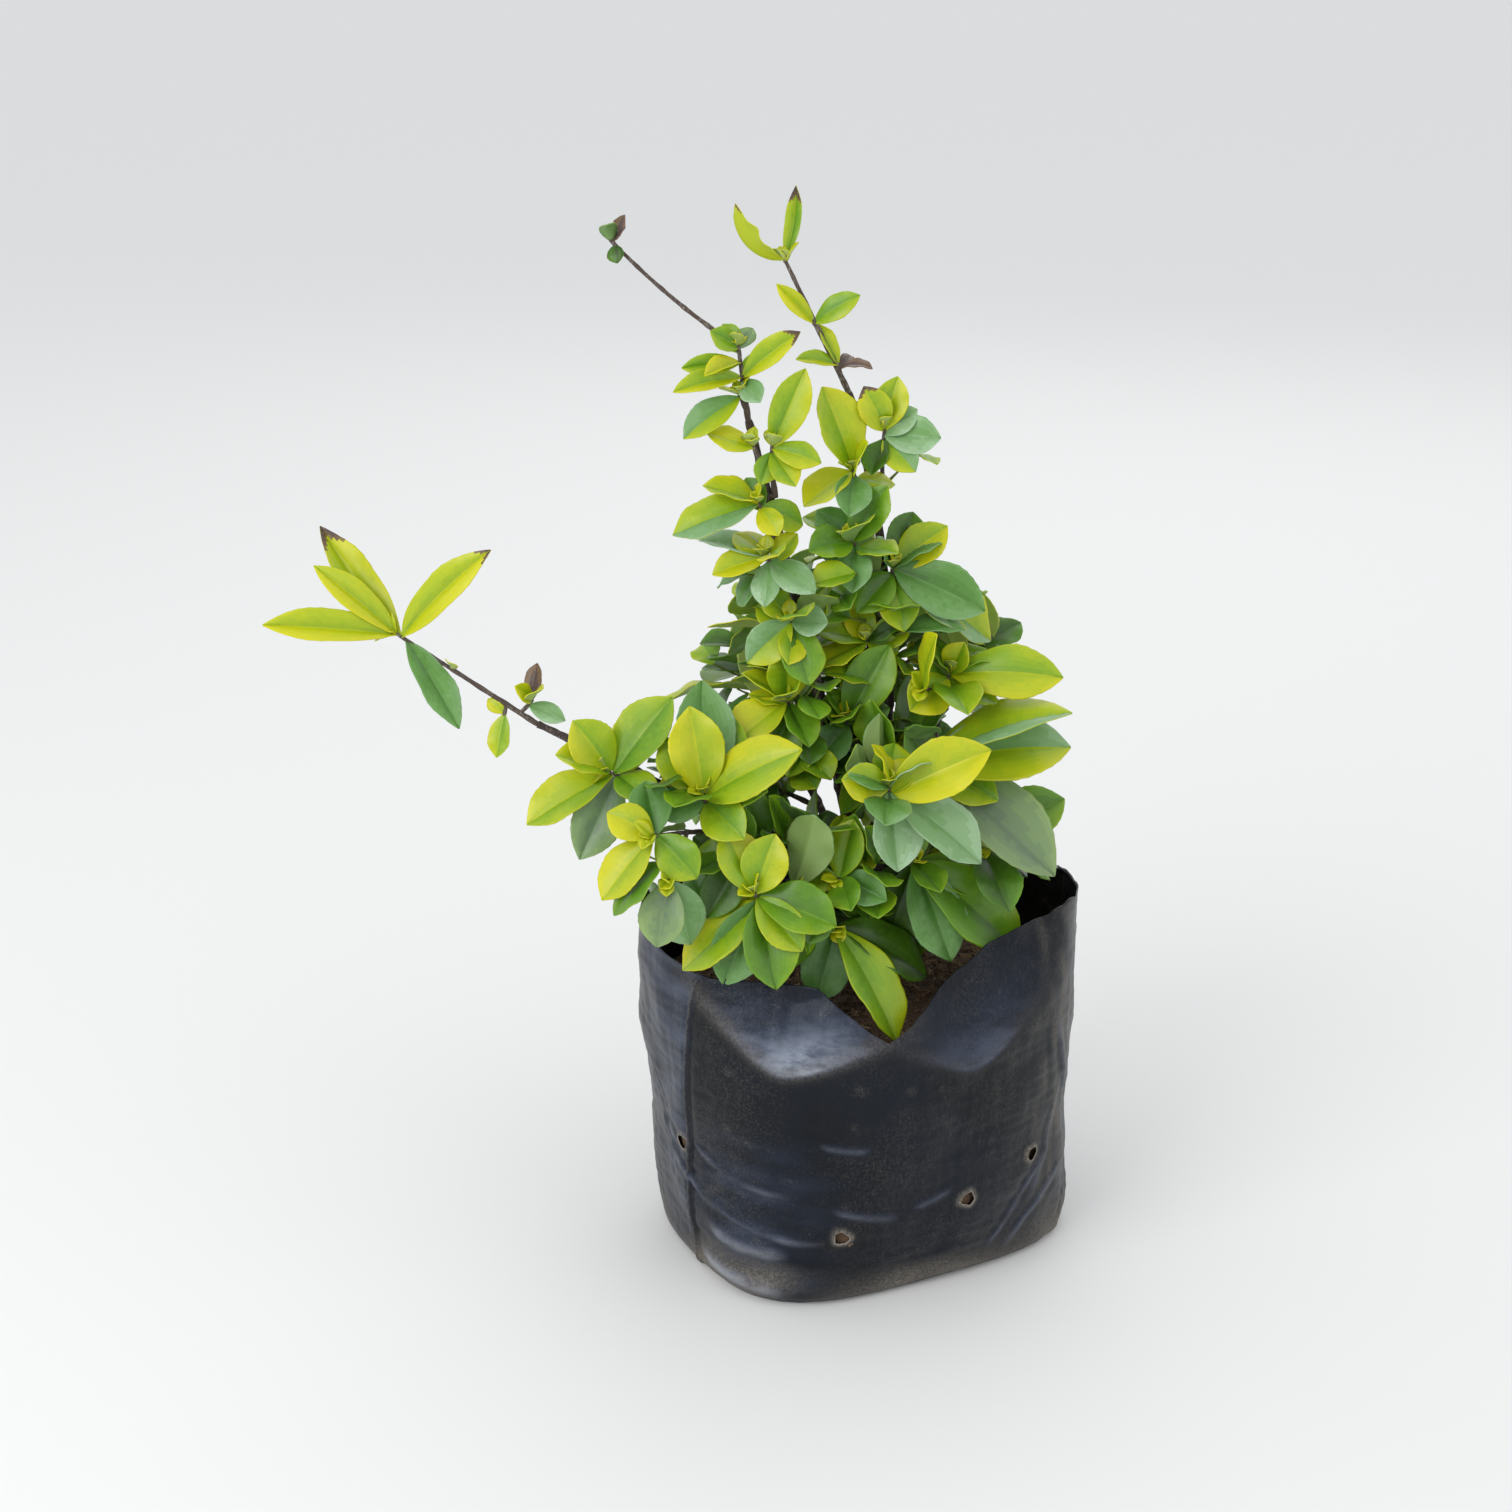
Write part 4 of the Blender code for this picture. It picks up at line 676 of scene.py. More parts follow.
def add_leaf(soup, leaf, sizes, rng):
    """One blade with its own outline, fold, sunken veins, raised midrib and small teeth."""
    tint = TINTS[leaf.tint.lower()]
    if leaf.tint.isupper():
        more_fold, slimmer = FOLDED.get(leaf.tint, (24, 0.84))
        leaf = leaf._replace(fold=leaf.fold + more_fold, width=leaf.width * slimmer)
    rows = 23 if leaf.length > LONG_LEAF else 15 if leaf.length > SMALL_LEAF else 8
    last = rows - 1
    lines = BLADE_LINES if leaf.length > SMALL_LEAF else SMALL_BLADE_LINES
    relief = sizes.vein_relief * min(1.6, leaf.length / 0.028)
    thick = sizes.leaf_thickness
    waves, phase = rng.uniform(0.02, 0.10), rng.uniform(0, math.tau)
    curl = rng.uniform(-0.10, 0.16)
    shares = [i / last * 0.992 for i in range(rows)]
    fine = leaf_frames(leaf, [k / CURVE_STEPS for k in range(CURVE_STEPS + 1)])
    _, _, face, side = fine[CURVE_STEPS // 2]
    first_vert = len(soup.verts)
    # The half of the folded blade that faces LIGHT_SIDE is the bright one: painted light on it, painted shade
    # on the other
    normals = {1: face * 0.9 - side * 0.42, -1: face * 0.9 + side * 0.42}
    bright = 1 if normals[1].dot(LIGHT_SIDE) >= normals[-1].dot(LIGHT_SIDE) else -1
    fold = math.radians(leaf.fold)
    upper, lower = [], []
    for i, share in enumerate(shares):
        half = leaf.width / 2 * half_width(min(0.999, max(0.004, share)))
        half = max(half, 0.00042 * (1 - share))
        tooth = (1.0 + sizes.tooth_depth * (1 if i % 2 else -0.4)) if 0.45 < share < 0.95 else 1.0
        for line in lines:
            out = abs(line)
            along = min(1.0, max(0.0, share + 0.30 * out * share * (1 - share) * min(1.0, 2.2 * share)))
            k = min(CURVE_STEPS - 1, int(along * CURVE_STEPS))
            mix = along * CURVE_STEPS - k
            at, _, face, side = (a.lerp(b, mix) for a, b in zip(fine[k], fine[k + 1]))
            wide = half * (tooth if out > 0.99 else 1.0)
            bend = fold * (1 - 0.35 * out)
            across = line * wide * math.cos(bend)
            rise = out * wide * math.sin(bend)
            rise -= curl * wide * out * out
            wave = math.sin(2.4 * math.tau * share + phase + (2.0 if line > 0 else 0.0))
            rise += waves * wide * out * out * wave
            vein = 0.0
            if 0.1 < share < 0.96:
                vein = -1.6 * relief
                if out > 0.06:
                    vein = (-1.0 if i % 2 == 0 else 0.9) * relief * (1 - out) * 1.2
            centre = at + side * across
            upper.append(centre + face * (rise + vein + thick / 2))
            ridge = 1.8 * relief if out < 0.06 and share < 0.9 else 0.0
            lower.append(centre + face * (rise + vein * 0.5 - ridge - thick / 2))
    soup.verts.extend(upper + lower)
    across_count = len(lines)
    lower_first = first_vert + len(upper)
    drift, place = rng.uniform(-0.10, 0.10), rng.uniform(0, 50)
    for i in range(last):
        share = (shares[i] + shares[i + 1]) / 2
        for j in range(across_count - 1):
            a = first_vert + i * across_count + j
            b, c, d = a + 1, a + across_count + 1, a + across_count
            soup.faces.append((a, b, c, d))
            middle = (lines[j] + lines[j + 1]) / 2
            out = abs(middle)
            # Bright half: the tint's lighter colours as painted light; other half: its darker ones as painted
            # shade
            ramp, edge, deep = tint[:3] if middle * bright >= 0 else tint[3:6]
            depth = drift + 0.62 * (1 - out) + 0.38 * (1 - share)
            depth += 0.20 * noise.noise(Vector((share * 4.5, middle * 1.6, place)))
            depth += 0.12 * noise.noise(Vector((share * 15, middle * 5, place)))
            if out > 0.92 or out < 0.04:
                depth -= 0.16
            shade = edge + (deep - edge) * min(1.15, max(-0.4, depth))
            past = share + 0.16 * (out - 0.4) - tint.tip_share
            if past > 0:
                ramp, shade = "tip", past / 0.07
            soup.slots.append(colour_slot(ramp, shade))
            a, b, c, d = (lower_first + v - first_vert for v in (a, b, c, d))
            soup.faces.append((d, c, b, a))
            under = (ramp, shade) if past > 0 else (tint.back_ramp, tint.back)
            soup.slots.append(colour_slot(*under))
    for i in range(last):
        for j in (0, across_count - 1):
            a = first_vert + i * across_count + j
            b = a + across_count
            c, d = b + lower_first - first_vert, a + lower_first - first_vert
            soup.faces.append((a, b, c, d) if j == 0 else (d, c, b, a))
            soup.slots.append(colour_slot(tint.ramp, tint.edge))
    for i in (0, last):
        row = first_vert + i * across_count
        for j in range(across_count - 1):
            a, b = row + j, row + j + 1
            c, d = b + lower_first - first_vert, a + lower_first - first_vert
            soup.faces.append((d, c, b, a) if i == 0 else (a, b, c, d))
            soup.slots.append(colour_slot(tint.ramp, tint.edge))


def young_leaves(twig, rng, size):
    """The small rosette that stands at a twig's tip."""
    way = bezier_way(*twig, 1.0)
    tip = twig[2]
    out = []
    for pair in range(2):
        turn = math.radians(90 * pair + rng.uniform(-25, 25))
        length = size * (1.0 - 0.30 * pair) * rng.uniform(0.8, 1.15)
        for k in (0, 1):
            leaf = ruled_leaf(tip, way, turn + math.pi * k, length, 38 - 12 * pair, rng)
            out.append(leaf._replace(fold=rng.uniform(24, 40), bend=rng.uniform(-20, 30),
                                     width=leaf.width * 0.66, tint="w"))
    return out


# Masses that get finer twigs inside, with how many, and the tints of their leaves; their dark tints are
# partly painted shade inside the crown
FINE_TWIGS = {
    "low_left": (11, "nldn"), "low_left_hanging": (10, "ddnb"), "front": (8, "ndn"),
    "front_skirt": (8, "ddn"), "front_right": (10, "nldn"), "front_middle": (32, "ddnn"),
    "front_right_low": (12, "ddn"), "right": (7, "nly"), "right_big": (12, "nldn"),
    "right_low": (9, "ndd"), "left_under": (4, "nb"),
    "stem_left_low": (26, "nldn"), "stem_left_2": (7, "nln"), "stem_left_3": (3, "lb"),
    "stem_right_low": (28, "ddnn"), "stem_right_2": (14, "nldn"), "stem_right_3": (12, "nldb"),
    "stem_right_4": (7, "nlb"), "stem_right_5": (1, "ly"), "right_cluster": (1, "ln"),
    "back_left": (20, "nldb"), "back_left_low": (18, "dnb"), "back_right": (16, "nldd"),
    "back_low": (16, "ddnb"), "back_high": (12, "lnd"), "back_left_high": (12, "lnb"),
}
LEAF_CLEARANCE = 0.0012    # between a finer leaf or twig and the part's solids
BAG_CLEARANCE = 0.004      # between a finer leaf and the film, from outside or from above
FINE_TRIES = 40            # for each finer twig that a mass may get
FINE_TWIG_LENGTHS = (0.005, 0.015)
FINE_LEAF_LENGTHS = (0.012, 0.024)
FINE_REACH = 0.0125        # how far a finer leaf may stand from the solids of its mass
LEAF_SPACING = 0.0033      # between the midribs of a finer leaf and of any other
HIDING_DEPTH = 0.022       # a finer leaf of the front stands before no leaf of the part that is this near
SIGHT = Vector((0, math.cos(math.radians(19)), -math.sin(math.radians(19))))


def inside_bag_clear(point):
    """Whether a point is clear of the film and of the soil."""
    direction = math.degrees(math.atan2(point.y, point.x))
    rim = ring_at(BAG_RIM_HEIGHT)
    wall = film_point(direction, BAG_RIM_HEIGHT)
    from_axis = math.hypot(point.x - rim[3], point.y - rim[4])
    radius = math.hypot(wall.x - rim[3], wall.y - rim[4])
    if point.z > wall.z + BAG_CLEARANCE or from_axis > radius + BAG_CLEARANCE:
        return True
    return from_axis < radius - 0.005 and point.z > SOIL_CROWN_HEIGHT + 0.002


def leaf_points(leaf):
    """Points over a leaf's blade, without its foot."""
    half = 0.40 * leaf.width
    frames = leaf_frames(leaf, (0.35, 0.5, 0.65, 0.95))
    sides = [at + side * half * sign for at, _, _, side in frames[:3] for sign in (-1, 1)]
    return [frame[0] for frame in frames] + sides


def clear_of(trees, points):
    return all(tree.find_nearest(point, LEAF_CLEARANCE)[0] is None for tree in trees for point in points)


def hides(trees, points):
    """Whether a leaf would stand before one of the part's leaves, as the photograph sees them."""
    return any(tree.ray_cast(point, SIGHT, HIDING_DEPTH)[0] is not None for tree in trees for point in points)


def fine_growth(name, twigs, tree, trees, taken):
    """Finer twigs with small leaves inside a mass, kept near its solids and apart from other leaves."""
    count, tints = FINE_TWIGS.get(name, (0, ""))
    rng = random.Random(name + "_fine")
    low, high = (Vector(corner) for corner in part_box("foliage_" + name))
    new_twigs, leaves = [], []
    for number in range(count * FINE_TRIES):
        if len(new_twigs) >= count:
            break
        base_twig = twigs[number % len(twigs)] if number % 3 else twigs[0]
        share = rng.uniform(0.20, 0.95)
        base, axis = bezier(*base_twig, share), bezier_way(*base_twig, share)
        side = Quaternion(axis, rng.uniform(0, math.tau)) @ square_to(UP + Vector((0.2, 0.1, 0)), axis)
        way = (side + axis * 0.5 + UP * rng.uniform(-0.3, 0.5)).normalized()
        twig = bow_curve(base, way, rng.uniform(*FINE_TWIG_LENGTHS), 0.0003)
        if not clear_of(trees, [bezier(*twig, share) for share in (0.5, 0.75, 1.0)]):
            continue
        kept = []
        for pair in range(2):
            share = 0.55 + 0.45 * pair
            turn = math.radians(90 * pair + rng.uniform(-30, 30))
            length = rng.uniform(*FINE_LEAF_LENGTHS) * (1.0 - 0.20 * pair)
            for k in (0, 1):
                foot, along = bezier(*twig, share), bezier_way(*twig, share)
                leaf = ruled_leaf(foot, along, turn + math.pi * k, length, 58, rng)
                leaf = leaf._replace(tint=tints[rng.randrange(len(tints))])
                points = [f[0] for f in leaf_frames(leaf, (0.35, 0.65, 0.95))]
                if not all(low.x <= p.x <= high.x and low.y <= p.y <= high.y and low.z <= p.z <= high.z
                           for p in points):
                    continue
                if tree.find_nearest(points[2])[3] > FINE_REACH:
                    continue
                if not all(inside_bag_clear(p) for p in points):
                    continue
                if not clear_of(trees, leaf_points(leaf)):
                    continue
                if not name.startswith("back") and hides(trees, points):
                    continue
                if any((p - q).length < LEAF_SPACING for p in points for q in taken):
                    continue
                taken.extend(points)
                kept.append(leaf)
        if kept:
            new_twigs.append(twig)
            leaves.extend(kept)
    return new_twigs, leaves


@lru_cache(maxsize=None)
def whole_growth():
    """Twigs and leaves of every mass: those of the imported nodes, then rosettes and finer ones."""
    grown, taken = {}, []
    for name in MASSES:
        twigs, leaves = grow(name)
        tree = node_tree("foliage_" + name)
        leaves = placed_leaves(name, leaves, tree)
        grown[name] = (twigs, leaves, tree)
        for leaf in leaves:
            taken.extend(f[0] for f in leaf_frames(leaf, (0.2, 0.4, 0.6, 0.8, 0.97)))
    result = {}
    trees = [tree for _, _, tree in grown.values()] + [node_tree(name) for name in LIMBS]
    for name, (twigs, leaves, tree) in grown.items():
        rng = random.Random(name + "_young")
        young = []
        own = [None] + [shoot for shoot in MASSES[name].shoots if shoot.length > 0]
        for twig, shoot in zip(twigs, own):
            if (twig[2] - twig[0]).length > 0.006 and not (shoot and shoot.tints.startswith("p")):
                young.extend(young_leaves(twig, rng, bpy.context.scene.duranta_plant.young_leaf_length))
        fine_twigs, fine_leaves = fine_growth(name, twigs, tree, trees, taken)
        result[name] = (twigs, fine_twigs, leaves, fine_leaves, young)
    return result


WALL_RINGS = BAG_RINGS[1:]
FILM_COLUMNS = 364
FILM_LEVELS = 128
HOLE_REACH = 0.0085        # how far round a hole the film's grid is drawn aside
PALE_SIDE_SHEEN = 0.44      # painted sheen of the narrow side left of the long fold, which faces the light
LONG_FOLD_TOP, LONG_FOLD_BASE = -137.0, -148.0    # its direction at its top and at the ground
LONG_FOLD_HEIGHT = 0.106
CUT_SHARE = 0.62           # of a hole's radius, within which the film's grid is cut
LIP_HEIGHT, LIP_WIDTH = 0.0009, 0.0011    # of the film's raised edge round a hole
FLOOR_SHARES = (0.96, 0.86, 0.70, 0.52, 0.34, 0.16)
SOIL_COLUMNS = 180
SOIL_LEVELS = (0.0012, 0.006, 0.014, 0.026, 0.038, 0.050, 0.062, 0.072, 0.079)
SOIL_TOP_RINGS = 56
MOUND_TOP, MOUND_SLOPE = 0.010, 0.050    # radius of the soil's level top and width of its slope


@lru_cache(maxsize=None)
def ring_at(height):
    """Half sizes, squareness and centre of the bag at a height, smoothly between its levels."""
    heights = [ring[5] for ring in WALL_RINGS]
    height = min(max(height, 0.0), heights[-1])
    k = max(0, min(len(heights) - 2, int(np.searchsorted(heights, height, side="right")) - 1))
    gap = heights[k + 1] - heights[k]
    t = (height - heights[k]) / gap
    values = []
    for part in range(5):
        a, b = WALL_RINGS[k][part], WALL_RINGS[k + 1][part]
        before = WALL_RINGS[max(0, k - 1)]
        after = WALL_RINGS[min(len(WALL_RINGS) - 1, k + 2)]
        rise_a = (b - before[part]) / (heights[k + 1] - before[5]) * gap
        rise_b = (after[part] - a) / (after[5] - heights[k]) * gap
        values.append((2 * t ** 3 - 3 * t ** 2 + 1) * a + (t ** 3 - 2 * t ** 2 + t) * rise_a
                      + (3 * t ** 2 - 2 * t ** 3) * b + (t ** 3 - t ** 2) * rise_b)
    return tuple(values) + (height,)


def off_from(direction, at):
    """Degrees from one direction to another, the shorter way round."""
    return (direction - at + 180) % 360 - 180


def bump(at, centre, width):
    """A smooth hump over the direction `centre`, in degrees."""
    return np.exp(-(off_from(at, centre) / width) ** 2)


def film_radius(direction, height, inset=0.0):
    """The plain film's distance from its own centre."""
    half_x, half_y, power = ring_at(height)[:3]
    q = np.radians(direction - BAG_TURN)
    a, b = half_x - inset, half_y - inset
    return (np.abs(np.cos(q) / a) ** power + np.abs(np.sin(q) / b) ** power) ** (-1 / power)


def rim_height(direction):
    """The rim's height in this direction, along straight runs of film."""
    direction = off_from(direction, 0)
    for (a, low), (b, high) in zip(RIM_LINE, RIM_LINE[1:]):
        if direction <= b:
            return low + (high - low) * (direction - a) / (b - a)
    return RIM_LINE[-1][1]


def column_direction(c, height):
    """Direction of a column of the film's grid: closer together in front and along the long fold."""
    around = math.tau * (c / FILM_COLUMNS - 0.25)
    direction = off_from(-90 + math.degrees(around - 0.40 * math.sin(around)), 0)
    off = direction - LONG_FOLD_TOP
    near = math.exp(-(off / 22) ** 2)
    lean = (LONG_FOLD_BASE - LONG_FOLD_TOP) * (1 - height / LONG_FOLD_HEIGHT)
    return direction - 1.3 * math.tanh(off / 2.0) * near + lean * near


def above_soil(height):
    """How much of the way from the soil to the rim a height is."""
    return max(0.0, height - SOIL_WALL_HEIGHT) / (BAG_RIM_HEIGHT - SOIL_WALL_HEIGHT)


def film_rise(direction, height):
    """Height of the film there, as the rim rises and dips."""
    return height + above_soil(height) * (rim_height(direction) - BAG_RIM_HEIGHT)


def film_point(direction, height, inset=0.0, push=0.0):
    """A point of the film; above the soil it leans in here and there."""
    ring = ring_at(height)
    radius = film_radius(direction, height, inset) + push
    radius -= above_soil(height) * sum(depth * bump(direction, at, width) for at, width, depth in RIM_LEANS)
    a = math.radians(direction)
    x, y = ring[3] + radius * math.cos(a), ring[4] + radius * math.sin(a)
    return Vector((x, y, film_rise(direction, height)))


def segment_distance(x, y, ax, ay, bx, by, sag):
    """Distance from a point to a sagging line, and the share of the way along it."""
    dx, dy = bx - ax, by - ay
    t = min(1.0, max(0.0, ((x - ax) * dx + (y - ay) * dy) / (dx * dx + dy * dy)))
    px, py = ax + dx * t, ay + dy * t + sag * 4 * t * (1 - t)
    return math.hypot(x - px, y - py), t


FACET_REACH = 44           # degrees to each side, in which a leaning facet fades out
FACET_SOFTNESS = 0.0007    # of the bend at a facet's fold
DEEPEST_LEAN = 0.0085
DENT_DEPTH = 0.0016
WRINKLE_DEPTH, RIPPLE_DEPTH = 0.00030, 0.00018


def lean_of_facets(direction, rise):
    """How far the facets push the film there, their wear with a painted highlight along the fold, and their
    painted sheen.
    """
    push = wear_and_highlight = sheen_and_haze = 0.0
    for at, low, left, right, slope, bright in LEANING_FACETS:
        off = off_from(direction, at)
        fold = low + (left if off < 0 else right) * (math.sqrt(off * off + 16) - 4)
        fade = max(0.0, 1 - (abs(off) / FACET_REACH) ** 2)
        over = (rise - fold) * fade
        if over > -0.004:
            lean = slope * (over + math.sqrt(over * over + FACET_SOFTNESS * FACET_SOFTNESS)) / 2
            push -= min(lean, DEEPEST_LEAN)
            # Pale marks along the fold line: partly scuffing and partly a painted highlight of the facet
            wear_and_highlight = max(wear_and_highlight, 0.42 * math.exp(-((over - 0.0015) / 0.0026) ** 2) * fade * bright)
            # Painted sheen: the sky's reflection painted on the film just above the fold, fading upward
            above = (over - 0.0012) / (0.0010 if over < 0.0012 else 0.0110)
            sheen_and_haze = max(sheen_and_haze, bright * math.exp(-above ** 2) * math.exp(-((off - 4) / 16) ** 2))
    return push, wear_and_highlight, sheen_and_haze


def add_creases(direction, height, arc, share, push, wear_and_highlight, sheen_and_haze):
    """The film's push, its wear and its painted sheen with the creases that pass there; `arc` is the film to
    a degree.
    """
    for a_dir, a_h, b_dir, b_h, sag, high, wide in CREASES:
        middle = (a_dir + b_dir) / 2
        off = off_from(direction, middle)
        if abs(off) > abs(b_dir - a_dir) / 2 + 10:
            continue
        distance, t = segment_distance(off * arc, height, (a_dir - middle) * arc, a_h,
                                       (b_dir - middle) * arc, b_h, sag)
        if distance > 5 * wide:
            continue
        taper = min(1.0, 5 * t, 5 * (1 - t)) if a_h < 0.1 else 1.0
        line = math.exp(-(distance / wide) ** 2)
        side = -0.35 * math.exp(-((distance - 2.2 * wide) / (1.2 * wide)) ** 2)
        push += share * high * (line + side) * taper
        wear_and_highlight = max(wear_and_highlight, min(0.6, 420 * high) * math.exp(-(distance / (0.6 * wide)) ** 2) * taper)
        # Painted highlight along each low crease
        sheen_and_haze = max(sheen_and_haze, 0.80 * high / 0.0012 * line * taper * (a_h < 0.1))
    return push, wear_and_highlight, sheen_and_haze


def film_detail(direction, height, sizes):
    """How far the film stands out from its plain form, its wear with a painted highlight, and its painted
    sheen with some haze there.
    """
    radius = float(film_radius(direction, height))
    arc = math.radians(1) * radius
    rise = float(film_rise(direction, height))
    leaning = lean_of_facets(direction, rise)
    push, wear_and_highlight, sheen_and_haze = add_creases(direction, height, arc, sizes.crease_share, *leaning)
    a = math.radians(direction)
    place = Vector((radius * math.cos(a), radius * math.sin(a), rise))
    soft = min(1.0, height / 0.008)
    dent = noise.noise(place * 34) + 0.45 * noise.noise(place * 75 + Vector((3, 1, 7)))
    push += DENT_DEPTH * soft * dent
    fold = noise.noise(Vector((place.x * 90, place.y * 90, place.z * 420)) + Vector((5, 9, 2)))
    push += WRINKLE_DEPTH * sizes.wrinkle_share * soft * fold
    tall = noise.noise(Vector((place.x * 300, place.y * 300, place.z * 40)) + Vector((1, 4, 8)))
    push += RIPPLE_DEPTH * sizes.wrinkle_share * tall
    corners = float(bump(direction, -128, 24) + bump(direction, -16, 16))
    rubbed = 0.25 + 1.1 * noise.noise(Vector((place.x * 260, place.y * 260, place.z * 70)))
    wear_and_highlight = max(wear_and_highlight, 0.55 * rubbed * float(bump(direction, -20, 10)))
    mud = max(0.0, 1 - height / (0.013 + 0.007 * corners)) * (0.6 + 0.3 * corners + noise.noise(place * 60))
    wear_and_highlight = max(wear_and_highlight, min(0.85, mud))
    # Painted sheen on the narrow side left of the long fold, which faces the light, streaked like the film's
    # scratches
    fold_at = LONG_FOLD_BASE + (LONG_FOLD_TOP - LONG_FOLD_BASE) * height / LONG_FOLD_HEIGHT
    aside = 1 / (1 + math.exp(min(60.0, (direction - fold_at) / 0.5)))
    streaks = noise.noise(Vector((place.x * 60, place.y * 60, place.z * 170)))
    fading = math.exp(-(min(0.0, direction - fold_at) / 22) ** 2)
    pale = PALE_SIDE_SHEEN * aside * fading * (0.8 + 0.5 * streaks)
    sheen_and_haze = max(sheen_and_haze, pale * (0.45 + 5.5 * min(0.10, height)))
    # Painted sheen low on the left front
    low_left = float(bump(direction, -124, 20)) * min(1.0, max(0.0, (0.062 - height) / 0.02))
    sheen_and_haze = max(sheen_and_haze, low_left * (0.17 + 0.22 * streaks))
    return push, wear_and_highlight, min(1.0, sheen_and_haze)


def near_hole(direction, height):
    """The nearest drain hole's number and the offsets from it along and up the film, or None."""
    for index, (at, up) in enumerate(BAG_HOLES):
        off = off_from(direction, at)
        if abs(off) < 9 and abs(height - up) < 0.009:
            arc = math.radians(1) * float(film_radius(direction, height))
            return index, off * arc, height - up, arc
    return None


def cut_corners(sizes, step):
    """Grid places of the film that fall into a drain hole."""
    cut = set()
    for c in range(FILM_COLUMNS):
        for level in range(FILM_LEVELS):
            hole = near_hole(column_direction(c, level * step), level * step)
            if hole and math.hypot(hole[1], hole[2]) < CUT_SHARE * sizes.hole_radius:
                cut.add((c, level))
    return cut


def round_hole(hole, direction, height, edge, sizes):
    """Moves a place of the film outward from a drain hole; those at its edge go onto the torn rim."""
    index, x, y, arc = hole
    distance, round_at = math.hypot(x, y), math.atan2(y, x)
    radius = sizes.hole_radius * (1 + 0.10 * math.sin(3 * round_at + index * 2.1)
                                  + 0.06 * math.sin(5 * round_at + index))
    if distance >= HOLE_REACH:
        return direction, height, 0.0
    cut = CUT_SHARE * radius
    far = radius
    if not edge:
        far += max(0.0004, distance - cut) * (HOLE_REACH - radius) / (HOLE_REACH - cut)
    direction += (far - distance) * math.cos(round_at) / arc
    height = max(0.0, height + (far - distance) * math.sin(round_at))
    return direction, height, math.exp(-((far - radius) / LIP_WIDTH) ** 2)


def to_mesh(bm, name, outward=False, smooth=False):
    """The finished mesh, with its faces turned outward or shaded smooth where asked."""
    if outward:
        bmesh.ops.recalc_face_normals(bm, faces=bm.faces)
    mesh = bpy.data.meshes.new(name)
    bm.to_mesh(mesh)
    bm.free()
    if smooth:
        mesh.polygons.foreach_set("use_smooth", [True] * len(mesh.polygons))
    return mesh


def join_rings(bm, lower, upper):
    """A band of faces between two rings of vertices."""
    for c in range(len(lower)):
        n = (c + 1) % len(lower)
        bm.faces.new((lower[c], lower[n], upper[n], upper[c]))


def film_mesh(sizes):
    """The bag's film as one open sheet, with its folds, dents, rim and torn drain holes."""
    bm = bmesh.new()
    wear_highlight_attr = bm.verts.layers.float.new("wear_and_highlight")
    sheen_haze_attr = bm.verts.layers.float.new("sheen_and_haze")
    step = BAG_RIM_HEIGHT / (FILM_LEVELS - 1)
    cut = cut_corners(sizes, step)
    columns = []
    for c in range(FILM_COLUMNS):
        column = []
        for level in range(FILM_LEVELS):
            height, lip = level * step, 0.0
            at = column_direction(c, height)
            hole = near_hole(at, height)
            if hole:
                edge = any(((c + i) % FILM_COLUMNS, level + j) in cut for i in (-1, 0, 1) for j in (-1, 0, 1))
                at, height, lip = round_hole(hole, at, height, edge, sizes)
            push, wear_and_highlight, sheen_and_haze = film_detail(at, height, sizes)
            if level == FILM_LEVELS - 1:
                around = Vector((math.cos(math.radians(at)), math.sin(math.radians(at)), 0))
                height += 0.0005 * noise.noise(around * 14)
            vert = bm.verts.new(film_point(at, height, 0.0, push + LIP_HEIGHT * lip))
            vert.co.z = max(0.0, vert.co.z)
            # Wear with a painted highlight, and painted sheen with some haze, kept as attributes for the
            # material
            vert[wear_highlight_attr] = max(wear_and_highlight, lip)
            vert[sheen_haze_attr] = sheen_and_haze
            column.append(vert)
        columns.append(column)
    for c in range(FILM_COLUMNS):
        n = (c + 1) % FILM_COLUMNS
        for level in range(FILM_LEVELS - 1):
            places = ((c, level), (n, level), (n, level + 1), (c, level + 1))
            if cut.isdisjoint(places):
                bm.faces.new([columns[column][row] for column, row in places])
    bmesh.ops.delete(bm, geom=[columns[column][row] for column, row in cut], context="VERTS")
    centre = Vector((WALL_RINGS[0][3], WALL_RINGS[0][4], 0.0))
    outer = [column[0] for column in columns]
    for share in FLOOR_SHARES:
        ring = []
        for column in columns:
            at = centre + (column[0].co - centre) * share
            at.z = 0.0004 * (1 - share) * (1 + noise.noise(at * 90))
            ring.append(bm.verts.new(at))
        for c in range(FILM_COLUMNS):
            n = (c + 1) % FILM_COLUMNS
            bm.faces.new((outer[n], outer[c], ring[c], ring[n]))
        outer = ring
    middle = bm.verts.new(centre + Vector((0, 0, 0.0006)))
    for c in range(FILM_COLUMNS):
        bm.faces.new((outer[(c + 1) % FILM_COLUMNS], outer[c], middle))
    return to_mesh(bm, "grow_bag_film", outward=True, smooth=True)


@lru_cache(maxsize=None)
def soil_rows():
    """Heading and phase of each row of the soil's waves."""
    rng = random.Random("soil")
    return [(rng.uniform(-260, 260), rng.uniform(-260, 260), rng.uniform(0, 6.28)) for _ in range(5)]


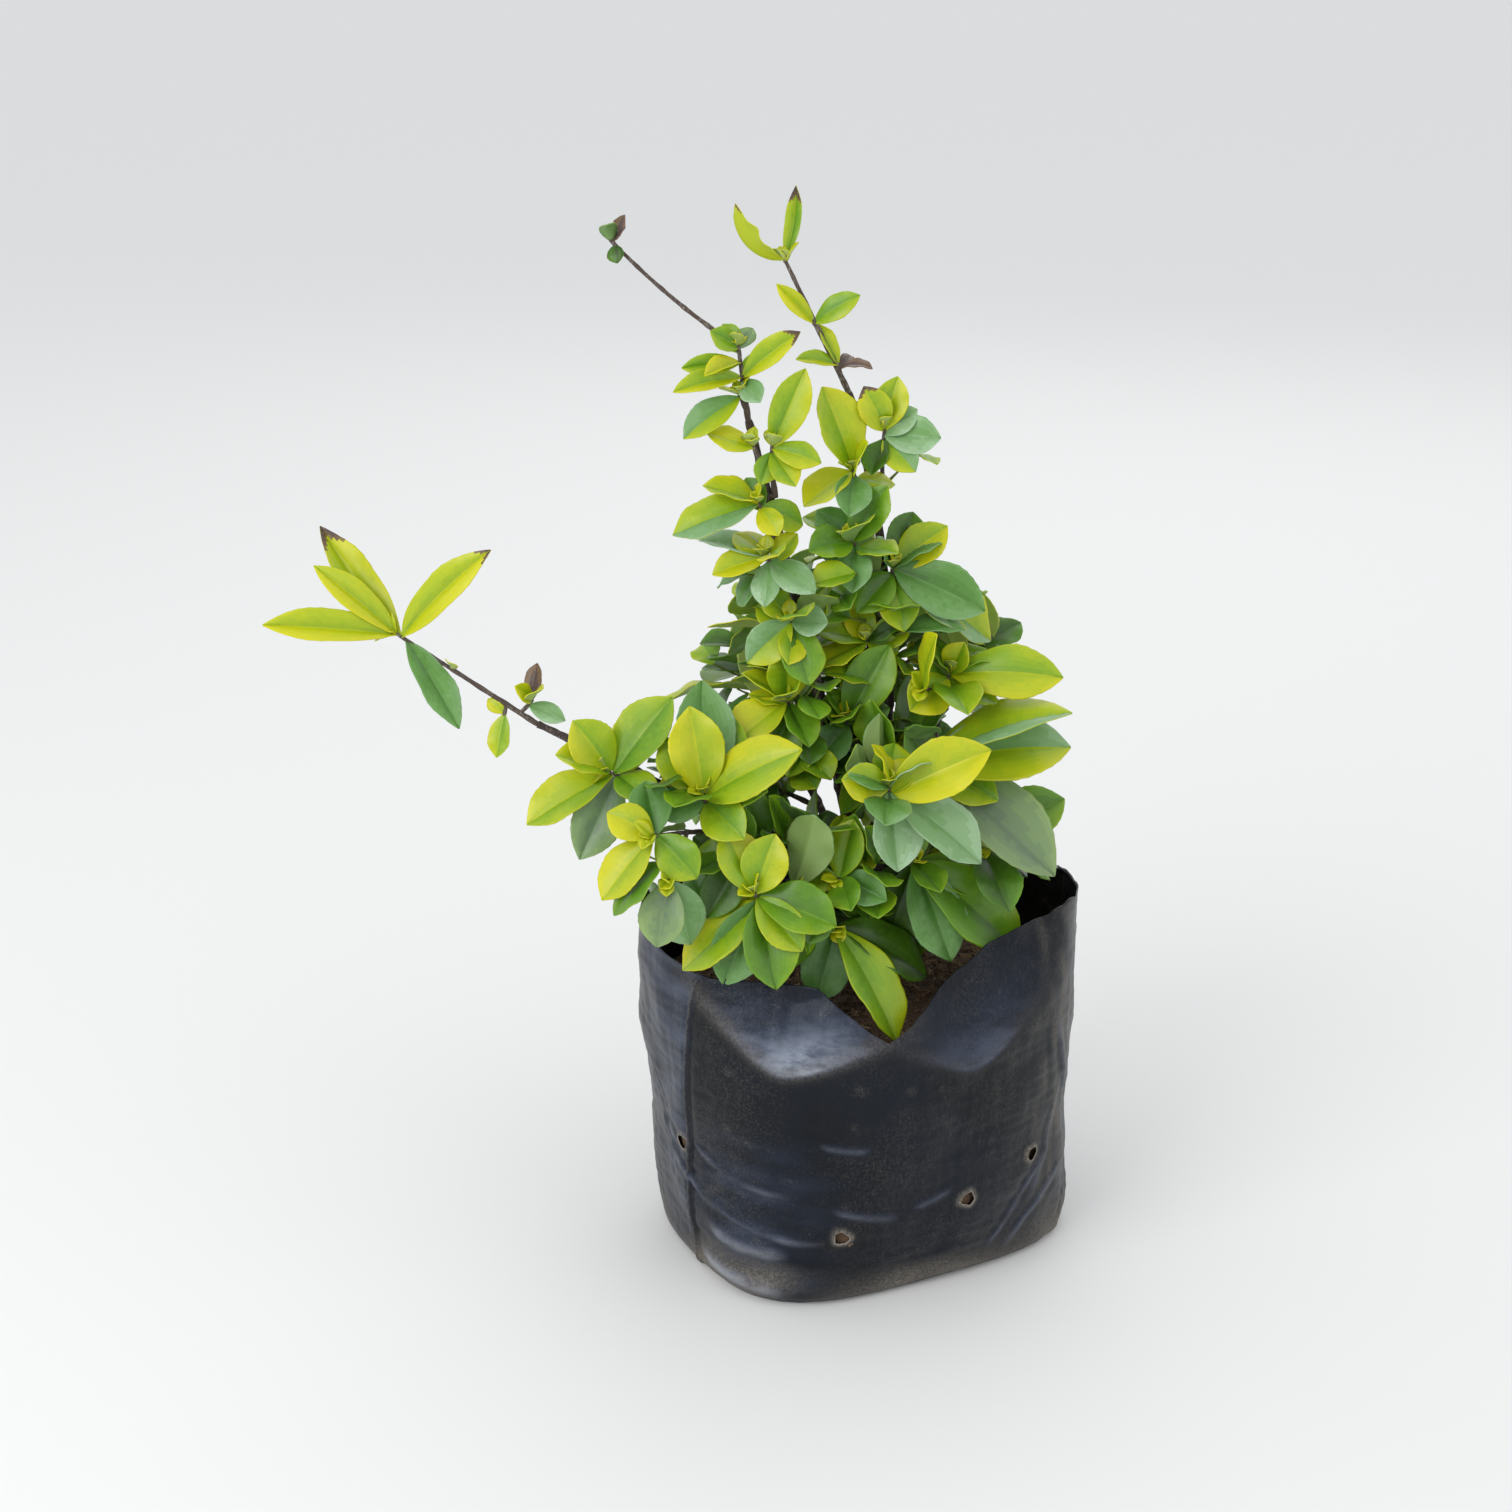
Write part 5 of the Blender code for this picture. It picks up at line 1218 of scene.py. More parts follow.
def soil_height(x, y, lumps):
    """The mounded top of the soil, as in the part, with finer lumps."""
    from_trunk = math.hypot(x - TRUNK_FOOT.x, y - TRUNK_FOOT.y)
    slope = min(1.0, max(0.0, (from_trunk - MOUND_TOP) / MOUND_SLOPE))
    rows = soil_rows()
    rough = sum(math.sin(x * fx + y * fy + phase) for fx, fy, phase in rows) / len(rows)
    height = (SOIL_CROWN_HEIGHT + (SOIL_WALL_HEIGHT - SOIL_CROWN_HEIGHT) * slope
              + SOIL_ROUGHNESS * rough * min(1.0, slope * 4))
    place = Vector((x, y, 0.3))
    return height + lumps * (noise.noise(place * 150) + 0.6 * noise.noise(place * 420))


def soil_edge(height, inset, gap, bag_sizes):
    """Points all round at a height, just inside the film's folds."""
    points = []
    for c in range(SOIL_COLUMNS):
        direction = -180 + 360 * c / SOIL_COLUMNS
        push = film_detail(direction, height, bag_sizes)[0]
        points.append(film_point(direction, height, inset, min(0.0, push) - gap))
    return points


def soil_mesh(sizes, bag_sizes):
    """A closed plug of soil that follows the inside of the film, with a lumpy top."""
    bm = bmesh.new()
    rings = []
    centre = Vector((TRUNK_FOOT.x, TRUNK_FOOT.y, 0))
    for height in SOIL_LEVELS:
        edge = soil_edge(height, FILM_INSET, 0.0006, bag_sizes)
        rings.append([bm.verts.new((at.x, at.y, height)) for at in edge])
    edge = soil_edge(SOIL_WALL_HEIGHT, 0.0006, 0.0003, bag_sizes)
    for k in range(SOIL_TOP_RINGS):
        share = 1.0 - k / SOIL_TOP_RINGS
        sunk = 0.0030 * max(0.0, (share - 0.90) / 0.10)
        ring = []
        for at in edge:
            flat = centre + (Vector((at.x, at.y, 0)) - centre) * share
            ring.append(bm.verts.new((flat.x, flat.y, soil_height(flat.x, flat.y, sizes.lump_height) - sunk)))
        rings.append(ring)
    for lower, upper in zip(rings, rings[1:]):
        join_rings(bm, lower, upper)
    top = bm.verts.new((centre.x, centre.y, soil_height(centre.x, centre.y, sizes.lump_height)))
    base = bm.verts.new((centre.x, centre.y, SOIL_LEVELS[0]))
    for c in range(SOIL_COLUMNS):
        n = (c + 1) % SOIL_COLUMNS
        bm.faces.new((rings[-1][c], rings[-1][n], top))
        bm.faces.new((rings[0][n], rings[0][c], base))
    return to_mesh(bm, "soil_top", outward=True, smooth=True)


def linear(colour):
    """The linear values of a display colour of 0 to 255."""
    return tuple(((c / 255 + 0.055) / 1.055) ** 2.4 if c > 10 else c / 255 / 12.92 for c in colour)


def fill(tree, node, inputs):
    """Gives a node's inputs their values or links."""
    for key, value in inputs.items():
        if isinstance(value, bpy.types.NodeSocket):
            tree.links.new(value, node.inputs[key])
        else:
            node.inputs[key].default_value = value


def add_node(tree, kind, inputs, output=0, **settings):
    """A new node with its settings and inputs; returns one of its outputs."""
    node = tree.nodes.new(kind)
    for name, value in settings.items():
        setattr(node, name, value)
    fill(tree, node, inputs)
    return node.outputs[output]


def new_material(name, colour, roughness):
    material = bpy.data.materials.new(name)
    material.use_nodes = True
    tree = material.node_tree
    shader = tree.nodes["Principled BSDF"]
    fill(tree, shader, {"Base Color": (*linear(colour), 1.0), "Roughness": roughness})
    material.diffuse_color = (*linear(colour), 1.0)
    return material, tree, shader


def leaf_materials(sizes):
    """One plain material for each step of each ramp of leaf colours."""
    materials = []
    for ramp, (steps, colours) in LEAF_RAMPS.items():
        for step in range(steps):
            at = step / (steps - 1) * (len(colours) - 1)
            k = min(len(colours) - 2, int(at))
            colour = [a + (b - a) * (at - k) for a, b in zip(colours[k], colours[k + 1])]
            material, tree, shader = new_material(f"leaf_{ramp}_{step + 1}", colour, LEAF_ROUGHNESS)
            fill(tree, shader, {"Specular IOR Level": 0.46, "Subsurface Weight": sizes.glow,
                                "Subsurface Radius": (0.6, 1.0, 0.15), "Subsurface Scale": 0.002})
            materials.append(material)
    return materials


def new_tree(name, kind, inputs, output):
    """A node group with its named inputs and output; returns it, its inputs and its end."""
    tree = bpy.data.node_groups.new(name, kind)
    for title, (socket_type, value) in inputs.items():
        socket = tree.interface.new_socket(title, in_out="INPUT", socket_type="NodeSocket" + socket_type)
        if value is not None:
            socket.default_value = value
    tree.interface.new_socket(output[0], in_out="OUTPUT", socket_type="NodeSocket" + output[1])
    return tree, tree.nodes.new("NodeGroupInput").outputs, tree.nodes.new("NodeGroupOutput")


def math_node(tree, operation, *values, clamp=False):
    return add_node(tree, "ShaderNodeMath", dict(enumerate(values)), operation=operation, use_clamp=clamp)


def noise_node(tree, vector, scale, detail, roughness):
    inputs = {"Vector": vector, "Scale": scale, "Detail": detail, "Roughness": roughness}
    return add_node(tree, "ShaderNodeTexNoise", inputs, "Fac")


def ramp_node(tree, value, low, high):
    """0 below `low` and 1 above `high`."""
    return add_node(tree, "ShaderNodeMapRange", {"Value": value, "From Min": low, "From Max": high}, "Result",
                    interpolation_type="SMOOTHSTEP")


def stretched(tree, vector, scale):
    return add_node(tree, "ShaderNodeMapping", {"Vector": vector, "Scale": scale}, "Vector")


def mix_colour(tree, mask, first, second):
    colours = [(*linear(c), 1.0) if isinstance(c, tuple) else c for c in (first, second)]
    inputs = {"Factor": mask, 6: colours[0], 7: colours[1]}
    return add_node(tree, "ShaderNodeMix", inputs, 2, data_type="RGBA")


def dust_group():
    """Fine dust and scuffs: a cloud of specks thinned out by larger patches."""
    tree, start, end = new_tree("dust", "ShaderNodeTree", {
        "Vector": ("Vector", None), "Speck Scale": ("Float", 900.0), "Patch Scale": ("Float", 30.0),
        "Bare": ("Float", 0.36), "Full": ("Float", 0.66), "Amount": ("Float", 0.5)}, ("Mask", "Float"))
    specks = noise_node(tree, start["Vector"], start["Speck Scale"], 4.0, 0.7)
    patches = noise_node(tree, start["Vector"], start["Patch Scale"], 3.0, 0.6)
    patches = ramp_node(tree, patches, start["Bare"], start["Full"])
    mask = math_node(tree, "MULTIPLY", ramp_node(tree, specks, 0.46, 0.70), patches)
    fill(tree, end, {"Mask": math_node(tree, "MULTIPLY", mask, start["Amount"], clamp=True)})
    return tree


def grain_group():
    """Height of a rough grain, coarse and fine together."""
    tree, start, end = new_tree("grain", "ShaderNodeTree", {
        "Vector": ("Vector", None), "Scale": ("Float", 400.0)}, ("Height", "Float"))
    coarse = noise_node(tree, start["Vector"], start["Scale"], 5.0, 0.65)
    fine = noise_node(tree, start["Vector"], math_node(tree, "MULTIPLY", start["Scale"], 4.0), 2.0, 0.5)
    fill(tree, end, {"Height": math_node(tree, "ADD", coarse, math_node(tree, "MULTIPLY", fine, 0.35))})
    return tree


def place_group(tree, name, vector, **values):
    """The mask of the shared dust or the height of the shared grain, with this material's own values."""
    group = bpy.data.node_groups.get(name) or {"dust": dust_group, "grain": grain_group}[name]()
    inputs = {title.replace("_", " "): value for title, value in values.items()}
    return add_node(tree, "ShaderNodeGroup", {"Vector": vector, **inputs}, node_tree=group)


def set_bump(tree, shader, vector, scale, strength, distance):
    height = place_group(tree, "grain", vector, Scale=scale)
    inputs = {"Strength": strength, "Distance": distance, "Height": height}
    fill(tree, shader, {"Normal": add_node(tree, "ShaderNodeBump", inputs, "Normal")})


def film_material(sizes):
    """Black polythene: bluish black, satin, scuffed along its folds and dusty, with painted sheen (the sky's
    reflection and highlights) on its facets, creases and left side, and some haze.
    """
    material, tree, shader = new_material("polythene_film", (18, 19, 24), 0.36)
    place = add_node(tree, "ShaderNodeTexCoord", {}, "Object")
    wear_highlight_attr = add_node(tree, "ShaderNodeAttribute", {}, "Fac", attribute_name="wear_and_highlight")
    sheen_haze_attr = add_node(tree, "ShaderNodeAttribute", {}, "Fac", attribute_name="sheen_and_haze")
    specks = place_group(tree, "dust", place, Speck_Scale=1300.0, Patch_Scale=34.0, Amount=sizes.dust)
    streaks = place_group(tree, "dust", stretched(tree, place, (1.0, 1.0, 0.34)),
                          Speck_Scale=1000.0, Patch_Scale=30.0, Amount=sizes.dust * 0.55)
    marks = place_group(tree, "dust", stretched(tree, place, (1.0, 1.0, 1.3)), Speck_Scale=2400.0,
                        Patch_Scale=95.0, Bare=0.57, Full=0.80, Amount=0.70)
    dirt = math_node(tree, "MAXIMUM", math_node(tree, "MAXIMUM", specks, streaks), marks)
    broken = ramp_node(tree, noise_node(tree, place, 1100.0, 4.0, 0.7), 0.36, 0.66)
    broken = math_node(tree, "ADD", math_node(tree, "MULTIPLY", broken, 0.62), 0.38)
    # Scuffs, mud and torn rims, with the painted highlight along the facets' folds
    scuffs = math_node(tree, "MULTIPLY", math_node(tree, "MULTIPLY", wear_highlight_attr, broken), 0.8)
    full = math_node(tree, "MULTIPLY", ramp_node(tree, wear_highlight_attr, 0.80, 1.0), 0.85)
    mask = math_node(tree, "MAXIMUM", dirt, math_node(tree, "MAXIMUM", scuffs, full), clamp=True)
    tone = ramp_node(tree, noise_node(tree, place, 22.0, 2.0, 0.5), 0.35, 0.65)
    film = mix_colour(tree, tone, (6, 6, 7), (11, 14, 22))
    # Painted sheen: the sky's bluish reflection where it is faint and a pale glare where it is strong,
    # streaked, with some haze
    brushed = noise_node(tree, stretched(tree, place, (0.45, 0.45, 1.3)), 150.0, 5.0, 0.60)
    sheen_and_haze = math_node(tree, "MULTIPLY", sheen_haze_attr, ramp_node(tree, brushed, 0.10, 0.66))
    film = mix_colour(tree, sheen_and_haze, film, mix_colour(tree, sheen_and_haze, (56, 74, 112), (162, 170, 182)))
    rough = math_node(tree, "ADD", math_node(tree, "MULTIPLY", mask, 0.42), 0.34, clamp=True)
    fill(tree, shader, {"Base Color": mix_colour(tree, mask, film, (150, 142, 130)), "Roughness": rough,
                        "Specular IOR Level": 0.26, "Specular Tint": (0.80, 0.88, 1.0, 1.0)})
    set_bump(tree, shader, place, 260.0, 0.30, 0.0006)
    return material


def flecked_material(name, dark, pale, scale, finish):
    """Bark with pale flecks along it, or damp soil with paler crumbs."""
    material, tree, shader = new_material(name, dark, finish.roughness)
    place = add_node(tree, "ShaderNodeTexCoord", {}, "Object")
    if finish.stretch:
        place = stretched(tree, place, (1.0, 1.0, finish.stretch))
    flecks = place_group(tree, "dust", place, Speck_Scale=scale, Patch_Scale=scale * finish.patches,
                         Amount=finish.amount)
    fill(tree, shader, {"Base Color": mix_colour(tree, flecks, dark, pale)})
    set_bump(tree, shader, place, scale, finish.bump, finish.depth)
    return material


class Finish(NamedTuple):
    """How rough a surface is, its pattern's stretch, patches and amount, and its bump and depth."""
    roughness: float
    stretch: float
    patches: float
    amount: float
    bump: float
    depth: float


BARK = Finish(0.82, 0.35, 0.14, 1.0, 0.6, 0.0004)
SOIL = Finish(0.95, 0.0, 0.12, 0.9, 0.7, 0.0008)


def finish_tree(tree, shape, start, end):
    """Makes a tree's shape real and gives it its material."""
    real = add_node(tree, "GeometryNodeRealizeInstances", {0: shape})
    coat = {"Geometry": real, "Material": start["Material"]}
    fill(tree, end, {0: add_node(tree, "GeometryNodeSetMaterial", coat)})
    return tree


def bark_tree():
    """Turns a curve with radii into a limb with the bark's relief."""
    tree, start, end = new_tree("limb_with_bark", "GeometryNodeTree", {
        "Geometry": ("Geometry", None), "Step": ("Float", 0.0015), "Sides": ("Int", 12),
        "Relief": ("Float", 0.0003), "Grain": ("Float", 500.0), "Material": ("Material", None)},
        ("Geometry", "Geometry"))
    line = add_node(tree, "GeometryNodeResampleCurve", {"Curve": start["Geometry"], "Length": start["Step"]},
                    mode="LENGTH")
    circle = add_node(tree, "GeometryNodeCurvePrimitiveCircle", {"Radius": 1.0, "Resolution": start["Sides"]})
    radius = add_node(tree, "GeometryNodeInputRadius", {})
    tube = add_node(tree, "GeometryNodeCurveToMesh", {
        "Curve": line, "Profile Curve": circle, "Scale": radius, "Fill Caps": True})
    place = add_node(tree, "GeometryNodeInputPosition", {})
    squeezed = add_node(tree, "ShaderNodeVectorMath", {0: place, 1: (1.0, 1.0, 0.3)}, operation="MULTIPLY")
    grain = noise_node(tree, squeezed, start["Grain"], 3.0, 0.5)
    amount = math_node(tree, "MULTIPLY", math_node(tree, "SUBTRACT", grain, 0.5), start["Relief"])
    normal = add_node(tree, "GeometryNodeInputNormal", {})
    push = add_node(tree, "ShaderNodeVectorMath", {0: normal, "Scale": amount}, operation="SCALE")
    moved = add_node(tree, "GeometryNodeSetPosition", {"Geometry": tube, "Offset": push})
    return finish_tree(tree, add_node(tree, "GeometryNodeSetShadeSmooth", {"Geometry": moved}), start, end)


def litter_tree():
    """Strews copies of one shape over the upward faces of the soil."""
    tree, start, end = new_tree("soil_litter", "GeometryNodeTree", {
        "Geometry": ("Geometry", None), "Density": ("Float", 40000.0), "Seed": ("Int", 1),
        "Smallest": ("Float", 0.5), "Largest": ("Float", 1.5), "Tilt": ("Float", 3.0),
        "Shape": ("Object", None), "Material": ("Material", None)},
        ("Geometry", "Geometry"))
    normal = add_node(tree, "GeometryNodeInputNormal", {})
    rise = add_node(tree, "ShaderNodeSeparateXYZ", {0: normal}, "Z")
    upward = add_node(tree, "FunctionNodeCompare", {0: rise, 1: 0.5}, data_type="FLOAT",
                      operation="GREATER_THAN")
    points = add_node(tree, "GeometryNodeDistributePointsOnFaces", {
        "Mesh": start["Geometry"], "Selection": upward, "Density": start["Density"],
        "Seed": start["Seed"]}, "Points")
    shape = add_node(tree, "GeometryNodeObjectInfo", {"Object": start["Shape"]}, "Geometry")
    corner = add_node(tree, "ShaderNodeCombineXYZ", {0: start["Tilt"], 1: start["Tilt"], 2: math.tau})
    turn = add_node(tree, "FunctionNodeRandomValue", {0: (0.0, 0.0, 0.0), 1: corner, "Seed": start["Seed"]},
                    data_type="FLOAT_VECTOR")
    size = add_node(tree, "FunctionNodeRandomValue", {
        2: start["Smallest"], 3: start["Largest"], "Seed": start["Seed"]}, 1, data_type="FLOAT")
    copies = add_node(tree, "GeometryNodeInstanceOnPoints", {
        "Points": points, "Instance": shape, "Rotation": turn, "Scale": size})
    return finish_tree(tree, copies, start, end)


def add_object(name, data):
    obj = bpy.data.objects.new(name, data)
    bpy.context.scene.collection.objects.link(obj)
    return obj


def run_tree(obj, tree, name, **values):
    """The tree's result on the object, as a plain mesh of its own."""
    modifier = obj.modifiers.new(tree.name, "NODES")
    modifier.node_group = tree
    names = {item.name: item.identifier for item in tree.interface.items_tree if item.in_out == "INPUT"}
    for title, value in values.items():
        modifier[names[title]] = value
    bpy.context.view_layer.update()
    depsgraph = bpy.context.evaluated_depsgraph_get()
    mesh = bpy.data.meshes.new_from_object(obj.evaluated_get(depsgraph), preserve_all_data_layers=True,
                                           depsgraph=depsgraph)
    mesh.name = name
    obj.modifiers.remove(modifier)
    if not mesh.polygons:
        raise RuntimeError(name + " came out empty")
    return mesh


def dress(piece, nodes):
    """Puts a finished piece on its body, in place of its nodes."""
    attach(piece, BODY)
    if nodes:
        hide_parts(*nodes)


def dress_lines(name, lines, nodes, colours, scale, **values):
    """One piece of bark along several lines of (points, radii)."""
    curve = bpy.data.curves.new(name, "CURVE")
    curve.dimensions = "3D"
    for points, radii in lines:
        spline = curve.splines.new("POLY")
        spline.points.add(len(points) - 1)
        for target, point, radius in zip(spline.points, points, radii):
            target.co = (*point, 1.0)
            target.radius = radius
    line = add_object(name + "_line", curve)
    material = flecked_material(name + "_bark", *colours, scale, BARK)
    tree = bpy.data.node_groups.get("limb_with_bark") or bark_tree()
    mesh = run_tree(line, tree, name, Material=material, **values)
    bpy.data.objects.remove(line)
    dress(add_object(name, mesh), nodes)


SCAR_WIDTH = 0.0011        # of the swelling where a pair of leaves stood
LIMB_STEP, TWIG_STEP = 0.0012, 0.0015
SHOOT_RADII = (0.0005, 0.0003)


def swelling(distance, spacing, phase, share):
    """How much thicker a shoot is where a pair of leaves stood."""
    off = (distance + phase) % spacing - spacing / 2
    return 1 + share * math.exp(-(off / SCAR_WIDTH) ** 2)


def limb_line(name, sizes):
    """A limb's points and radii; it begins inside the limb that carries it."""
    limb = LIMBS[name]
    curve = limb_curve(name)
    length = (curve[2] - curve[0]).length
    steps = max(12, round(length / LIMB_STEP))
    phase = random.Random(name).uniform(0, 0.012)
    points, radii = [], []
    if limb.parent:
        points.append(limb_point(limb.parent, limb.share))
        radii.append(limb.foot_radius)
    for k in range(steps + 1):
        t = k / steps
        flare = 0.30 * math.exp(-k / 3) if limb.parent else 0.55 * math.exp(-12 * t / 1.3)
        points.append(bezier(*curve, t))
        scar = swelling(t * length, sizes.leaf_scar_spacing, phase, 0.28)
        radii.append(limb_radius(name, t) * (1 + flare) * scar)
    if not limb.parent:
        points.insert(0, points[0] - Vector((0, 0, 0.003)))
        radii.insert(0, radii[0] * 1.1)
    return points, radii


def twig_line(twig, first, last, anchor=None):
    """A twig's points and radii, from inside the limb that carries it."""
    length = (twig[2] - twig[0]).length
    steps = max(4, round(length / TWIG_STEP))
    points, radii = ([], []) if anchor is None else ([anchor], [first])
    for k in range(steps + 1):
        t = k / steps
        points.append(bezier(*twig, t))
        radii.append((first + (last - first) * t) * swelling(t * length, 0.009, 0.002, 0.22))
    return points, radii


class PlantSizes(bpy.types.PropertyGroup):
    """Sizes of the leaves and the bark."""
    leaf_thickness: FloatProperty(
        name="Leaf thickness", description="Thickness of a leaf's blade",
        default=0.0003, unit="LENGTH", precision=5)
    vein_relief: FloatProperty(
        name="Vein relief", description="How far the veins sink in",
        default=0.00013, unit="LENGTH", precision=5)
    tooth_depth: FloatProperty(
        name="Tooth depth", description="Depth of the teeth, as a share of half the width", default=0.018)
    glow: FloatProperty(
        name="Leaf glow", description="Share of the light that spreads inside a leaf",
        default=0.12, subtype="FACTOR")
    young_leaf_length: FloatProperty(
        name="Young leaf length", description="Length of the leaves in a rosette",
        default=0.0065, unit="LENGTH")
    bark_relief: FloatProperty(
        name="Bark relief", description="Height of the bark's ridges",
        default=0.0007, unit="LENGTH", precision=5)
    leaf_scar_spacing: FloatProperty(
        name="Leaf scar spacing", description="Distance between swellings of a limb",
        default=0.0120, unit="LENGTH")


class BagSizes(bpy.types.PropertyGroup):
    """Sizes of the grow bag's film."""
    film_thickness: FloatProperty(
        name="Film thickness", description="Thickness of the film",
        default=0.00035, unit="LENGTH", precision=5)
    crease_share: FloatProperty(
        name="Creases", description="Height of the creases, as a share of the real ones", default=1.0)
    wrinkle_share: FloatProperty(
        name="Wrinkles", description="Height of the fine wrinkles, as a share", default=1.0)
    hole_radius: FloatProperty(
        name="Hole radius", description="Radius of a torn drain hole",
        default=0.0023, unit="LENGTH", precision=5)
    dust: FloatProperty(
        name="Dust", description="How much dust lies on the film", default=0.13, subtype="FACTOR")


class SoilSizes(bpy.types.PropertyGroup):
    """Sizes of the soil and its litter."""
    lump_height: FloatProperty(
        name="Lump height", description="Height of the lumps of soil",
        default=0.0009, unit="LENGTH", precision=5)
    crumb_density: FloatProperty(name="Crumbs", description="Crumbs to the square metre", default=260000.0)
    fibre_density: FloatProperty(
        name="Fibres", description="Coir fibres to the square metre", default=44000.0)
    husk_density: FloatProperty(
        name="Husks", description="Chips of husk to the square metre", default=30000.0)


class StageSizes(bpy.types.PropertyGroup):
    """The floor, the lights and the camera."""
    floor_size: FloatProperty(
        name="Floor size", description="Side of the pale floor", default=60.0, unit="LENGTH")
    floor_colour: FloatVectorProperty(
        name="Floor colour", description="Colour of the floor",
        default=(0.82, 0.82, 0.81), subtype="COLOR", size=3)
    key_power: FloatProperty(
        name="Key light", description="Power of the main soft light", default=6.5, unit="POWER")
    fill_power: FloatProperty(
        name="Fill light", description="Power of the light from the right", default=1.6, unit="POWER")
    back_power: FloatProperty(
        name="Back light", description="Power of the light from behind", default=3.0, unit="POWER")
    sky: FloatProperty(name="Sky light", description="Strength of the even light all round", default=0.88)
    camera_elevation: FloatProperty(
        name="Camera elevation", description="Angle of the view above the horizon",
        default=math.radians(19.0), subtype="ANGLE")
    camera_distance: FloatProperty(
        name="Camera distance", description="From the camera to its target", default=0.850, unit="LENGTH")
    camera_lens: FloatProperty(name="Lens", description="Focal length on a 36 mm sensor", default=60.41)
    camera_target: FloatVectorProperty(
        name="Camera target", description="The point that the camera looks at",
        default=(-0.0342, 0.0496, 0.1441), subtype="TRANSLATION", size=3)


LEAF_REGIONS = {
    "leaves_left": ("left_tip", "left_knee", "left_under", "low_left", "low_left_hanging"),
    "leaves_front": ("front", "front_skirt", "front_right", "front_middle", "front_right_low"),
    "leaves_right": ("right", "right_big", "right_low"),
    "leaves_stem_left": ("stem_left_low", "stem_left_2", "stem_left_3", "stem_left_4", "stem_left_5",
                         "left_top"),
    "leaves_stem_right": ("stem_right_low", "stem_right_2", "stem_right_3", "stem_right_4", "stem_right_5",
                          "right_cluster", "right_top"),
    "leaves_back_left": ("back_left", "back_left_low", "back_left_high"),
    "leaves_back_right": ("back_right", "back_low", "back_high"),
}


class DURANTA_OT_leaves(bpy.types.Operator):
    """Grow the leaves of every mass, one piece for each part of the crown"""
    bl_idname = "duranta.leaves"
    bl_label = "Leaves"

    def execute(self, context):
        sizes = context.scene.duranta_plant
        materials = leaf_materials(sizes)
        grown = whole_growth()
        for region, names in LEAF_REGIONS.items():
            soup = Soup()
            for name in names:
                rng = random.Random(name + "_blade")
                for leaf in chain(*grown[name][2:]):
                    add_leaf(soup, leaf, sizes, rng)
            piece = add_object(region, soup.mesh(region, materials))
            dress(piece, ["foliage_" + name for name in names])
        return {"FINISHED"}


class DURANTA_OT_twigs(bpy.types.Operator):
    """Grow the stems and twigs that carry the leaves"""
    bl_idname = "duranta.twigs"
    bl_label = "Twigs"

    def execute(self, context):
        sizes = context.scene.duranta_plant
        woody, green = [], []
        for name, (twigs, fine, *_) in whole_growth().items():
            mass = MASSES[name]
            woody.append(twig_line(twigs[0], STEM_RADIUS, TWIG_TIP_RADIUS, limb_point(mass.limb, mass.share)))
            woody.extend(twig_line(twig, TWIG_RADIUS, TWIG_TIP_RADIUS) for twig in twigs[1:])
            green.extend(twig_line(twig, *SHOOT_RADII) for twig in fine)
        nodes = ["foliage_" + mass for mass in MASSES]
        for name, lines, colours in (("woody_twigs", woody, ((80, 66, 60), (168, 162, 150))),
                                     ("green_shoots", green, ((104, 122, 44), (150, 160, 90)))):
            dress_lines(name, lines, nodes, colours, 1800.0, Step=0.0012, Sides=8,
                        Relief=sizes.bark_relief * 0.4, Grain=900.0)
        return {"FINISHED"}


class DURANTA_OT_limbs(bpy.types.Operator):
    """Make the trunk, the stems and the boughs with the bark's relief"""
    bl_idname = "duranta.limbs"
    bl_label = "Trunk and boughs"

    def execute(self, context):
        sizes = context.scene.duranta_plant
        for piece, is_bough in (("trunk_and_stems", False), ("boughs", True)):
            names = [name for name in LIMBS if name.startswith("bough") == is_bough]
            lines = [limb_line(name, sizes) for name in names]
            dress_lines(piece, lines, names, ((64, 50, 48), (164, 156, 146)), 1300.0,
                        Step=0.0007, Sides=20, Relief=sizes.bark_relief, Grain=650.0)
        return {"FINISHED"}


class DURANTA_OT_bag(bpy.types.Operator):
    """Make the grow bag of thin black film, with its folds, rim and torn drain holes"""
    bl_idname = "duranta.bag"
    bl_label = "Grow bag"

    def execute(self, context):
        sizes = context.scene.duranta_bag
        piece = add_object("grow_bag_film", film_mesh(sizes))
        wall = piece.modifiers.new("film", "SOLIDIFY")
        wall.thickness = sizes.film_thickness
        wall.offset = -1.0
        piece.data.materials.append(film_material(sizes))
        dress(piece, ["bag"])
        return {"FINISHED"}


